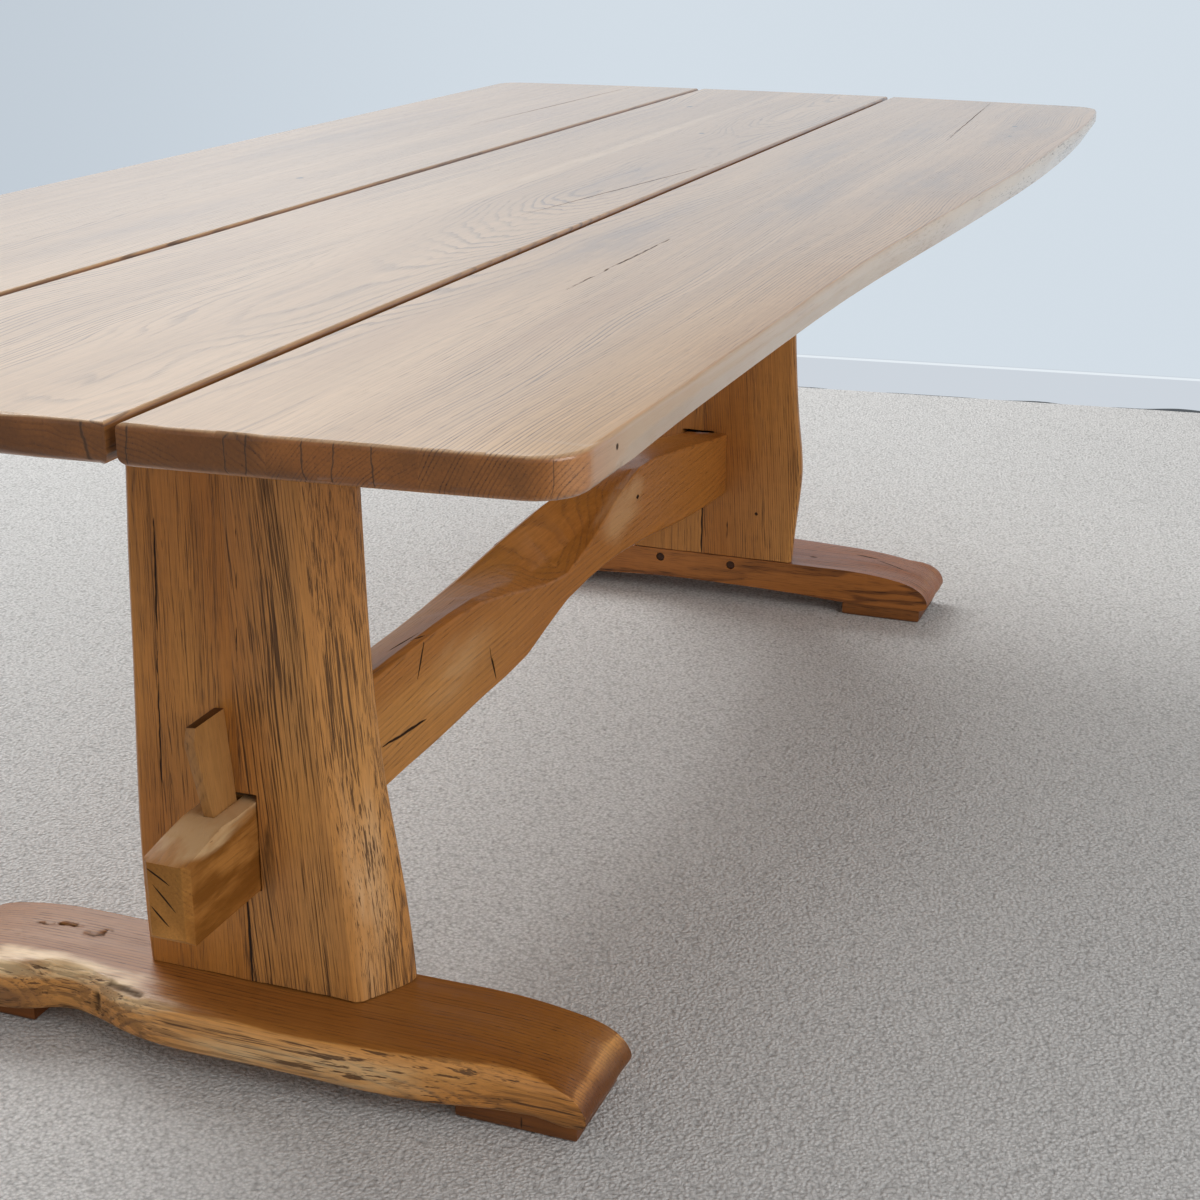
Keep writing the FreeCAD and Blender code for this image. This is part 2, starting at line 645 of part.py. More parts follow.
def make_pad(doc, end, side):
    """A pad under one end of a foot."""
    way, across = ENDS[end], SIDES[side]
    body = new_body(doc, f"{end}_{side}_pad")
    sketch = new_sketch(body, "Plan", "XY_Plane")
    edges = {way: "(Sizes.foot_outer - Sizes.pad_outer_recess)",
             -way: "(Sizes.foot_inner - Sizes.pad_inner_recess)"}
    low_y, high_y = (PAD_START, PAD_FINISH) if across > 0 else (f"-{PAD_FINISH}", f"-{PAD_START}")
    draw_outline(sketch, rectangle(f"-{edges[-1]}", edges[1], low_y, high_y))
    add_feature(body, "Pad", "Thickness", sketch, "Sizes.pad_height")
    dress(body, "Chamfer", "LowerEdges", "Size", "Sizes.pad_chamfer",
          lambda edge: is_level(edge, 0))
    body.setExpression("Placement.Base.x", f"({way}) * {HALF_SPACING}")
    return body


def make_compound(doc, label, pieces):
    """Like pieces in one node, each a solid of its own."""
    group = doc.addObject("Part::Compound", label)
    group.Label = label
    group.Links = pieces
    return group


def make_pegs(doc, end):
    """The two draw pegs that lock the leg's tenons in the foot, driven in from inside."""
    way = ENDS[end]
    pegs = []
    for side, across, height in peg_places():
        peg = doc.addObject("Part::Cylinder", f"{end}_{side}_peg")
        peg.Placement = FreeCAD.Placement(Vector(), FreeCAD.Rotation(Vector(0, way, 0), 90))
        peg.setExpression("Radius", "Sizes.peg_radius")
        peg.setExpression("Height", "Sizes.peg_length")
        peg.setExpression("Placement.Base.x",
                          f"({way}) * ({HALF_SPACING} - Sizes.foot_inner + Sizes.peg_recess)")
        peg.setExpression("Placement.Base.y", across)
        peg.setExpression("Placement.Base.z", height)
        pegs.append(peg)
    return make_compound(doc, f"{end}_foot_pegs", pegs)


# ------------------------------------------------------------------ bearers and screws

def screw_offsets():
    """Name and place across the table of each screw in a bearer."""
    return [(f"{board}{side}", f"({way}) * Sizes.{board}_screws")
            for board in ("middle", "inner", "outer") for side, way in SIDES.items()]


def make_bearer(doc, end):
    """A cross bearer with tapered ends, mortised for the leg and bored for the screws."""
    way = ENDS[end]
    body = new_body(doc, f"{end}_bearer")
    side_view = new_sketch(body, "SideView", "YZ_Plane")
    tip = "Sizes.bearer_half_length"
    foot = "(Sizes.bearer_half_length - Sizes.bearer_taper)"
    lip = f"({TOP_UNDERSIDE} - Sizes.bearer_end)"
    corners = [(f"-{foot}", BEARER_BOTTOM), (foot, BEARER_BOTTOM), (tip, lip),
               (tip, TOP_UNDERSIDE), (f"-{tip}", TOP_UNDERSIDE), (f"-{tip}", lip)]
    draw_outline(side_view, [[a, b] for a, b in zip(corners, corners[1:] + corners[:1])])
    add_feature(body, "Pad", "Blank", side_view, "Sizes.bearer_width", midplane=True)

    mortises = new_sketch(body, "MortisePlan", "XY_Plane", BEARER_BOTTOM)
    for side in SIDES:
        draw_outline(mortises, tenon_rectangle(side, "Sizes.joint_clearance"), side)
    add_feature(body, "Pocket", "Mortises", mortises, "Sizes.tenon_length + 1", reverse=True)

    shanks = new_sketch(body, "ShankPlan", "XY_Plane", TOP_UNDERSIDE)
    heads = new_sketch(body, "HeadPlan", "XY_Plane", SCREW_SEAT)
    for name, across in screw_offsets():
        draw_circle(shanks, "0", across, "Sizes.screw_radius + 0.5", name)
        draw_circle(heads, "0", across, "Sizes.counterbore_radius", name)
    add_feature(body, "Pocket", "ShankHoles", shanks, "Sizes.bearer_height + 1")
    add_feature(body, "Pocket", "Counterbores", heads, "Sizes.bearer_height")
    body.setExpression("Placement.Base.x", f"({way}) * {HALF_SPACING}")
    return body


def make_screws(doc, end):
    """The screws that hold the boards down on a bearer, driven from below."""
    way = ENDS[end]
    screws = []
    for name, across in screw_offsets():
        shank = doc.addObject("Part::Cylinder", f"{end}_{name}_shank")
        shank.setExpression("Radius", "Sizes.screw_radius")
        shank.setExpression("Height", "Sizes.screw_grip + Sizes.screw_bite")
        shank.setExpression("Placement.Base.z", SCREW_SEAT)
        head = doc.addObject("Part::Cone", f"{end}_{name}_head")
        head.setExpression("Radius1", "0.7 * Sizes.screw_head_radius")
        head.setExpression("Radius2", "Sizes.screw_head_radius")
        head.setExpression("Height", "Sizes.screw_head_height")
        head.setExpression("Placement.Base.z", f"{SCREW_SEAT} - Sizes.screw_head_height")
        screw = doc.addObject("Part::Fuse", f"{end}_{name}_screw")
        screw.Base, screw.Tool = shank, head
        screw.setExpression("Placement.Base.x", f"({way}) * {HALF_SPACING}")
        screw.setExpression("Placement.Base.y", across)
        screws.append(screw)
    return make_compound(doc, f"{end}_bearer_screws", screws)


# ------------------------------------------------------------------ stretcher and wedges

# The stretcher's section at eleven places along it, evenly spaced from the near to the far leg.
# Each row holds heights above the stretcher's axis, in hundredths of its rise: the right arris,
# the crease in the upper face, the left shoulder and the underside; last, the crease's offset to
# the left, in hundredths of the half width.
STRETCHER_STATIONS = [
    (92, 97, 80, -49, -72),
    (96, 99, 80, -37, -72),
    (97, 99, 79, -36, -72),
    (90, 94, 81, -33, -69),
    (62, 72, 88, -29, -54),
    (39, 51, 96, -2, -31),
    (71, 72, 100, 3, -49),
    (106, 103, 93, -6, -67),
    (92, 92, 83, -23, -67),
    (71, 74, 73, -38, -62),
    (51, 52, 50, -49, -51),
]
HALFWAY_STATIONS = 2


def smooth_stations():
    """The stations with others between them, on a smooth curve through every column."""
    rows = STRETCHER_STATIONS
    before, after = [rows[0], *rows[:-1]], [*rows[2:], rows[-1]]
    stations = []
    for previous, start, finish, following in zip(before, rows, rows[1:], after):
        for step in range(HALFWAY_STATIONS):
            share = step / HALFWAY_STATIONS
            stations.append([
                0.5 * (2 * b + (c - a) * share + (2 * a - 5 * b + 4 * c - d) * share ** 2
                       + (3 * b - a - 3 * c + d) * share ** 3)
                for a, b, c, d in zip(previous, start, finish, following)])
    return [*stations, list(rows[-1])]


def stretcher_section(station):
    """The outline of the stretcher at one station, seen along the table."""
    arris, crease, shoulder, under, crease_offset = station
    half = "(Sizes.stretcher_width / 2)"

    def level(height):
        return f"(Sizes.stretcher_axis + {height / 100:.5f} * Sizes.stretcher_rise)"

    corners = [
        (f"(-{half} + Sizes.under_bevel)", level(under)),
        (f"({half} - Sizes.under_bevel)", level(under)),
        (half, f"{level(under)} + Sizes.under_bevel"),
        (half, f"{level(shoulder)} - Sizes.shoulder_drop"),
        (f"({half} - Sizes.shoulder_width)", level(shoulder)),
        (f"({crease_offset / 100:.5f} * {half})", level(crease)),
        (f"(-{half} + Sizes.right_bevel_width)", level(arris)),
        (f"-{half}", f"{level(arris)} - Sizes.right_bevel_drop"),
        (f"-{half}", f"{level(under)} + Sizes.under_bevel"),
    ]
    return [[a, b] for a, b in zip(corners, corners[1:] + corners[:1])]


def wedge_edge(height, clearance="0"):
    """Distance of a wedge's outer edge from the leg at a height above the tenon."""
    return f"(Sizes.wedge_width + {height} * tan(Sizes.wedge_slope * 1 deg) + {clearance})"


def make_stretcher(doc):
    """The hand-shaped beam between the legs with a through tenon and a wedge slot at each end."""
    body = new_body(doc, "stretcher")
    sections = []
    stations = smooth_stations()
    middle = (len(stations) - 1) / 2
    for number, station in enumerate(stations):
        place = f"{(number - middle) / middle} * {HALF_SPAN}"
        sketch = new_sketch(body, f"Section{number}", "YZ_Plane", place)
        draw_outline(sketch, stretcher_section(station))
        sections.append(sketch)
    add_loft(body, "Additive", "Beam", sections, ruled=True)

    for end, way in ENDS.items():
        sketch = new_sketch(body, f"{end}TenonOutline", "YZ_Plane", f"({way}) * {HALF_SPAN}")
        half = "(Sizes.through_width / 2)"
        draw_outline(sketch, rectangle(
            f"Sizes.through_offset - {half}", f"Sizes.through_offset + {half}",
            THROUGH_BOTTOM, THROUGH_TOP))
        add_feature(body, "Pad", f"{end}Tenon", sketch,
                    "Sizes.leg_thickness + Sizes.through_length", reverse=way < 0)
    tip = value(doc.Sizes, f"{LEG_OUTER} + Sizes.through_length")
    dress(body, "Chamfer", "TenonEnds", "Size", "Sizes.through_chamfer",
          lambda edge: all(abs(abs(vertex.X) - tip) < 0.01 for vertex in edge.Vertexes))

    for end, way in ENDS.items():
        slot = new_sketch(body, f"{end}SlotOutline", "XZ_Plane", "-Sizes.through_offset")
        lean_slot(slot, way)
        inside, above, below = f"({way}) * (-10)", "8", "(-Sizes.through_height - 8)"
        clearance = "Sizes.wedge_clearance"
        outside = [(f"({way}) * {wedge_edge(height, clearance)}", height)
                   for height in (below, above)]
        corners = [(inside, below), outside[0], outside[1], (inside, above)]
        draw_outline(slot, [[a, b] for a, b in zip(corners, corners[1:] + corners[:1])])
        add_feature(body, "Pocket", f"{end}Slot", slot,
                    "Sizes.wedge_thickness + 2 * Sizes.wedge_clearance", midplane=True)
    return body


def lean_slot(sketch, way):
    """Move a slot's sketch to the leg's outer face at the top of the tenon, and lean it."""
    sketch.AttachmentOffset = FreeCAD.Placement(Vector(), FreeCAD.Rotation(Vector(-1, 0, 0), 1))
    sketch.setExpression("AttachmentOffset.Base.x", f"({way}) * {LEG_OUTER}")
    sketch.setExpression("AttachmentOffset.Base.y", THROUGH_TOP)
    sketch.setExpression("AttachmentOffset.Rotation.Angle", "Sizes.wedge_lean * 1 deg")


def make_wedge(doc, end):
    """A loose wedge that bears on the leg's outer face and on the end of its slot."""
    way = ENDS[end]
    body = new_body(doc, f"{end}_wedge")
    sketch = new_sketch(body, "SideView", "XZ_Plane")
    inner = f"({way}) * Sizes.wedge_clearance"
    below, above = "(-Sizes.wedge_below)", "Sizes.wedge_above"
    bevel_start = "(Sizes.wedge_above - Sizes.wedge_bevel)"
    corners = [
        (inner, below),
        (f"({way}) * {wedge_edge(below)}", below),
        (f"({way}) * {wedge_edge(bevel_start)}", bevel_start),
        (f"({way}) * ({wedge_edge(above)} - 0.6 * Sizes.wedge_bevel)", above),
        (inner, above),
    ]
    draw_outline(sketch, [[a, b] for a, b in zip(corners, corners[1:] + corners[:1])])
    add_feature(body, "Pad", "Thickness", sketch, "Sizes.wedge_thickness", midplane=True)
    body.Placement = FreeCAD.Placement(Vector(), FreeCAD.Rotation(Vector(-1, 0, 0), 1))
    body.setExpression("Placement.Base.x", f"({way}) * {LEG_OUTER}")
    body.setExpression("Placement.Base.y", "Sizes.through_offset")
    body.setExpression("Placement.Base.z", THROUGH_TOP)
    body.setExpression("Placement.Rotation.Angle", "Sizes.wedge_lean * 1 deg")
    return body


# ------------------------------------------------------------------ the whole table

def make_table(doc):
    """Every sub-part of the table."""
    pieces = make_top(doc)
    pieces.append(make_stretcher(doc))
    for end in ENDS:
        pieces.append(make_bearer(doc, end))
        pieces.append(make_screws(doc, end))
        pieces.append(make_foot(doc, end))
        pieces.append(make_pegs(doc, end))
        pieces.append(make_wedge(doc, end))
        for side in SIDES:
            pieces.append(make_leg_half(doc, end, side))
            pieces.append(make_pad(doc, end, side))
    return pieces


def check(doc, pieces):
    """Stop if any object failed or any sub-part is empty or not valid."""
    for obj in doc.Objects:
        if "Invalid" in obj.State or "Error" in obj.State:
            raise RuntimeError(f"{obj.Label} failed: {obj.State}")
    for piece in pieces:
        if piece.Shape.isNull() or not piece.Shape.isValid():
            raise RuntimeError(f"{piece.Label} has no valid shape")


def main():
    doc = FreeCAD.newDocument("TrestleTable")
    make_sheet(doc)
    pieces = make_table(doc)
    doc.recompute()
    check(doc, pieces)
    os.makedirs("parts", exist_ok=True)
    for piece in pieces:
        piece.Shape.exportStep(f"parts/{piece.Label}.step")
        print(piece.Label, round(piece.Shape.Volume), len(piece.Shape.Solids))


main()
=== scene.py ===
"""Trestle dining table in solid oak: worked wood pieces, their finishes and a plain studio."""
import json
import math

import bmesh
import bpy
import numpy as np
from bpy.props import FloatProperty, FloatVectorProperty, PointerProperty
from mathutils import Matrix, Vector, noise


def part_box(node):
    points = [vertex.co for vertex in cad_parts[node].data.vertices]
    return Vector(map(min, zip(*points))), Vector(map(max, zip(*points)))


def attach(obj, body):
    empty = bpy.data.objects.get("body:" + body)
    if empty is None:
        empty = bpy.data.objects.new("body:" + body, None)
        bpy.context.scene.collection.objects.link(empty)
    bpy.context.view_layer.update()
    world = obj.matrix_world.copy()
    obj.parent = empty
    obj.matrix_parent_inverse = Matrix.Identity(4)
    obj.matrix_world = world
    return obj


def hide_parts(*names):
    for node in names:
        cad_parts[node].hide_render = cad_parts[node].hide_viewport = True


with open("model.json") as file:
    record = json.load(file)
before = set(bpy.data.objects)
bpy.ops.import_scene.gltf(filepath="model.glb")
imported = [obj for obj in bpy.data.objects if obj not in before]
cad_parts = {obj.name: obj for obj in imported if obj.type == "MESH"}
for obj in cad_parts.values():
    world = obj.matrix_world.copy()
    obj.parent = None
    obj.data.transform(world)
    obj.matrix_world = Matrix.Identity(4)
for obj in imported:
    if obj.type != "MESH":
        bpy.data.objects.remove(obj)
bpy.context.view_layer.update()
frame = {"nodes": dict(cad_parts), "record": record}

bl_info = {
    "name": "Trestle table",
    "version": (1, 0, 0),
    "blender": (4, 5, 0),
    "location": "View3D > Sidebar > Table",
    "description": "Dresses the trestle table's frame in worked oak",
    "category": "Object",
}

AXIS_ORDER = {"X": (0, 1, 2), "Y": (1, 0, 2), "Z": (2, 1, 0)}
BODIES = frame["record"]["behaviour"]["bodies"]


def box_face(node, corner, axis):
    """A face of a node's box, to a tenth of a millimetre, from its low corner (0) or high (1)."""
    return round(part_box(node)[corner][axis], 4)


# the planes that marks are placed on, in metres
TOP_FACE = box_face("left_board_outer_plank", 1, 2)
NEAR_LEG_FACE = box_face("near_leg_left_half", 0, 0)
FAR_LEG_FACE = box_face("far_leg_left_half", 0, 0)
FOOT_BED = box_face("near_foot", 1, 2)
STRETCHER_SIDE = box_face("stretcher", 0, 1)
TENON_TIP = box_face("stretcher", 0, 0)
WORN_TIP = TENON_TIP + 0.0005


# ------------------------------------------------------------------ node tree helper

class Graph:
    """Adds nodes to a node tree and joins them."""

    def __init__(self, tree):
        self.tree = tree

    def add(self, kind, inputs=None, **settings):
        node = self.tree.nodes.new(kind)
        for key, setting in settings.items():
            setattr(node, key, setting)
        for key, source in (inputs or {}).items():
            self.feed(node.inputs[key], source)
        return node

    def feed(self, socket, source):
        if isinstance(source, bpy.types.NodeSocket):
            self.tree.links.new(source, socket)
        else:
            socket.default_value = source

    def math(self, operation, first, second=0.0, clamp=False):
        return self.add("ShaderNodeMath", {0: first, 1: second},
                        operation=operation, use_clamp=clamp).outputs[0]

    def plus(self, first, second, clamp=False):
        return self.math("ADD", first, second, clamp)

    def minus(self, first, second):
        return self.math("SUBTRACT", first, second)

    def times(self, first, second):
        return self.math("MULTIPLY", first, second)

    def over(self, first, second, clamp=False):
        return self.math("DIVIDE", first, second, clamp)

    def larger(self, first, second):
        return self.math("MAXIMUM", first, second)

    def rest(self, share):
        """What is left of one when the share is taken away."""
        return self.math("SUBTRACT", 1.0, share)

    def split(self, vector):
        return self.add("ShaderNodeSeparateXYZ", {0: vector}).outputs

    def join(self, x, y, z):
        return self.add("ShaderNodeCombineXYZ", {0: x, 1: y, 2: z}).outputs[0]

    def vectors(self, operation, first, second=(0.0, 0.0, 0.0), output="Vector"):
        return self.add("ShaderNodeVectorMath", {0: first, 1: second},
                        operation=operation).outputs[output]

    def stretch(self, vector, factors, shift=0.0):
        """The vector with each part multiplied by its factor, then moved by a seed."""
        scaled = self.vectors("MULTIPLY", vector, factors)
        return self.vectors("ADD", scaled, self.join(shift, shift, shift))

    def noise(self, vector, detail=2.0, roughness=0.5):
        return self.add("ShaderNodeTexNoise", {
            "Vector": vector, "Scale": 1.0, "Detail": detail,
            "Roughness": roughness}).outputs["Fac"]

    def step(self, value, low, high):
        """0 below low, 1 above high and smooth between."""
        return self.add("ShaderNodeMapRange", {"Value": value, "From Min": low, "From Max": high},
                        interpolation_type="SMOOTHSTEP").outputs["Result"]

    def mix(self, factor, first, second, blend="MIX"):
        node = self.add("ShaderNodeMix", data_type="RGBA", blend_type=blend)
        self.feed(node.inputs[0], factor)
        self.feed(node.inputs[6], first)
        self.feed(node.inputs[7], second)
        return node.outputs[2]

    def shade(self, colour, level, factor=1.0):
        """The colour made darker or lighter by a level."""
        return self.mix(factor, colour, self.join(level, level, level), "MULTIPLY")

    def group(self, tree, inputs):
        node = self.add("ShaderNodeGroup", node_tree=tree)
        for key, source in inputs.items():
            self.feed(node.inputs[key], source)
        return node.outputs

    def show(self, shader, kind="Material"):
        """Make the shader the surface that the tree puts out."""
        self.feed(self.add(f"ShaderNodeOutput{kind}").inputs["Surface"], shader)


def new_group(name, inputs, outputs):
    """An empty shader node group with its sockets, as a Graph, its inputs and its output node."""
    tree = bpy.data.node_groups.new(name, "ShaderNodeTree")
    for label, kind, default in inputs:
        socket = tree.interface.new_socket(name=label, in_out="INPUT", socket_type=f"NodeSocket{kind}")
        if default is not None:
            socket.default_value = default
    for label, kind in outputs:
        tree.interface.new_socket(name=label, in_out="OUTPUT", socket_type=f"NodeSocket{kind}")
    graph = Graph(tree)
    source = graph.add("NodeGroupInput").outputs
    return graph, source, graph.add("NodeGroupOutput")


def build_oak_figure():
    """Growth rings round a wandering pith, cut by the surface of the piece, with their pores.
    The vector's parts run along, across and through the piece, in metres."""
    graph, given, result = new_group(
        "Oak figure",
        [("Vector", "Vector", None), ("Pith Across", "Float", 0.0), ("Pith Depth", "Float", -0.05),
         ("Tilt", "Float", 0.02), ("Wander", "Float", 0.03), ("Spacing", "Float", 0.003),
         ("Seed", "Float", 0.0), ("Ripple", "Float", 0.005), ("Swirl", "Float", 0.0)],
        [("Line", "Float"), ("Slow", "Float"), ("Fibre", "Float"), ("Pore", "Float")])
    along, across, depth = graph.split(given["Vector"])
    seed = given["Seed"]
    slow_along = graph.times(along, 1.5)
    drift = []
    for shift, amount in ((0.5, 0.4), (9.6, 1.0)):
        wave = graph.noise(graph.join(slow_along, graph.plus(seed, shift), 0.5), 1.5)
        wave = graph.times(graph.minus(wave, 0.5), amount)
        drift.append(graph.times(wave, given["Wander"]))
    side = graph.minus(graph.minus(across, given["Pith Across"]), drift[0])
    lean = graph.times(along, given["Tilt"])
    down = graph.minus(graph.minus(depth, given["Pith Depth"]), graph.plus(lean, drift[1]))
    radius = graph.math("SQRT", graph.plus(graph.times(side, side), graph.times(down, down)))
    for scales, detail, share in (((2.6, 17.0, 17.0), 2.0, 1.0), ((9.0, 62.0, 62.0), 1.0, 0.45)):
        ripple = graph.noise(graph.stretch(given["Vector"], scales, seed), detail)
        ripple = graph.times(graph.minus(ripple, 0.5), given["Ripple"])
        radius = graph.plus(radius, graph.times(ripple, share))
    radius = graph.plus(radius, given["Swirl"])
    uneven = graph.noise(graph.join(graph.times(radius, 30.0), seed, 1.7), 1.0)
    rings = graph.plus(graph.over(radius, given["Spacing"]), graph.times(uneven, 2.2))
    saw = graph.math("FRACT", rings)
    fading = graph.rest(graph.step(saw, 0.02, 0.40))
    rising = graph.step(saw, 0.88, 1.0)
    line = graph.larger(fading, rising)
    year = graph.noise(graph.join(graph.times(rings, 0.37), seed, 4.1), 1.0)
    patchy = graph.stretch(given["Vector"], (1.8, 11.0, 11.0), graph.plus(seed, 3.0))
    line = graph.times(line, graph.step(year, 0.25, 0.65))
    line = graph.times(line, graph.step(graph.noise(patchy, 2.0), 0.27, 0.60))
    pore_noise = graph.noise(graph.stretch(given["Vector"], (34.0, 760.0, 760.0), seed), 1.0)
    open_pores = graph.step(pore_noise, 0.55, 0.68)
    pore = graph.times(open_pores, graph.plus(graph.times(line, 0.8), 0.2))
    fibre = graph.noise(graph.stretch(given["Vector"], (7.0, 330.0, 330.0), seed), 3.0, 0.62)
    slow = graph.noise(graph.stretch(given["Vector"], (1.1, 8.0, 8.0), seed), 2.0)
    for label, value in (("Line", line), ("Slow", slow), ("Fibre", fibre), ("Pore", pore)):
        graph.feed(result.inputs[label], value)
    return graph.tree


def build_weathered_streaks():
    """Dark broken streaks along the grain, in clusters."""
    graph, given, result = new_group(
        "Weathered streaks",
        [("Vector", "Vector", None), ("Width", "Float", 0.003), ("Length", "Float", 0.07),
         ("Cover", "Float", 0.4), ("Seed", "Float", 0.0)],
        [("Mask", "Float")])
    along, across, depth = graph.split(given["Vector"])
    bend = graph.noise(graph.stretch(given["Vector"], (3.0, 9.0, 9.0), given["Seed"]), 1.0)
    across = graph.plus(across, graph.times(bend, 0.02))
    fine = graph.join(graph.over(along, given["Length"]), graph.over(across, given["Width"]),
                      graph.over(depth, given["Width"]))
    marks = graph.noise(graph.stretch(fine, (1.0, 1.0, 1.0), given["Seed"]), 3.0, 0.6)
    cluster = graph.noise(graph.stretch(given["Vector"], (3.5, 26.0, 26.0), given["Seed"]), 2.0)
    level = graph.minus(0.86, graph.times(given["Cover"], cluster))
    graph.feed(result.inputs["Mask"], graph.step(graph.minus(marks, level), -0.02, 0.05))
    return graph.tree


def build_crack_line():
    """A dark crack along a line between two places, tapering and a little crooked."""
    graph, given, result = new_group(
        "Crack line",
        [("Vector", "Vector", None), ("Start", "Vector", None), ("End", "Vector", None),
         ("Half Width", "Float", 0.001)],
        [("Mask", "Float")])
    crook = graph.noise(graph.stretch(given["Vector"], (38.0, 38.0, 38.0)), 2.0)
    crook = graph.times(graph.minus(crook, 0.5), 0.0035)
    place = graph.vectors("ADD", given["Vector"], graph.join(crook, crook, crook))
    offset = graph.vectors("SUBTRACT", place, given["Start"])
    way = graph.vectors("SUBTRACT", given["End"], given["Start"])
    share = graph.over(graph.vectors("DOT_PRODUCT", offset, way, "Value"),
                       graph.vectors("DOT_PRODUCT", way, way, "Value"), clamp=True)
    nearest = graph.vectors("MULTIPLY", way, graph.join(share, share, share))
    reach = graph.vectors("LENGTH", graph.vectors("SUBTRACT", offset, nearest), output="Value")
    middle = graph.times(graph.times(share, graph.rest(share)), 4.0)
    width = graph.times(given["Half Width"], graph.plus(graph.times(middle, 0.75), 0.25))
    reach = graph.over(reach, width)
    graph.feed(result.inputs["Mask"], graph.rest(graph.step(reach, 0.5, 1.1)))
    return graph.tree


def build_soft_patch():
    """An oval patch with a ragged soft border."""
    graph, given, result = new_group(
        "Soft patch",
        [("Vector", "Vector", None), ("Centre", "Vector", None), ("Size", "Vector", (1.0, 1.0, 1.0)),
         ("Border", "Float", 0.5), ("Ragged", "Float", 0.3)],
        [("Mask", "Float"), ("Distance", "Float")])
    scaled = graph.vectors("SUBTRACT", given["Vector"], given["Centre"])
    scaled = graph.vectors("DIVIDE", scaled, given["Size"])
    reach = graph.vectors("LENGTH", scaled, output="Value")
    wobble = graph.minus(graph.noise(graph.stretch(scaled, (1.6, 1.6, 1.6), 3.0), 3.0), 0.5)
    reach = graph.plus(reach, graph.times(wobble, given["Ragged"]))
    low = graph.rest(given["Border"])
    graph.feed(result.inputs["Mask"], graph.rest(graph.step(reach, low, 1.0)))
    graph.feed(result.inputs["Distance"], reach)
    return graph.tree


GROUPS = {}


def shared_group(name):
    """The shared node group of that name, built when first used."""
    builders = {"figure": build_oak_figure, "streaks": build_weathered_streaks,
                "patch": build_soft_patch, "crack": build_crack_line}
    if name not in GROUPS:
        GROUPS[name] = builders[name]()
    return GROUPS[name]


# ------------------------------------------------------------------ oak materials

def rgba(colour):
    return (*colour, 1.0)


def new_material(name):
    """An empty node material and the graph that fills it."""
    material = bpy.data.materials.new(name)
    material.use_nodes = True
    material.node_tree.nodes.clear()
    return material, Graph(material.node_tree)


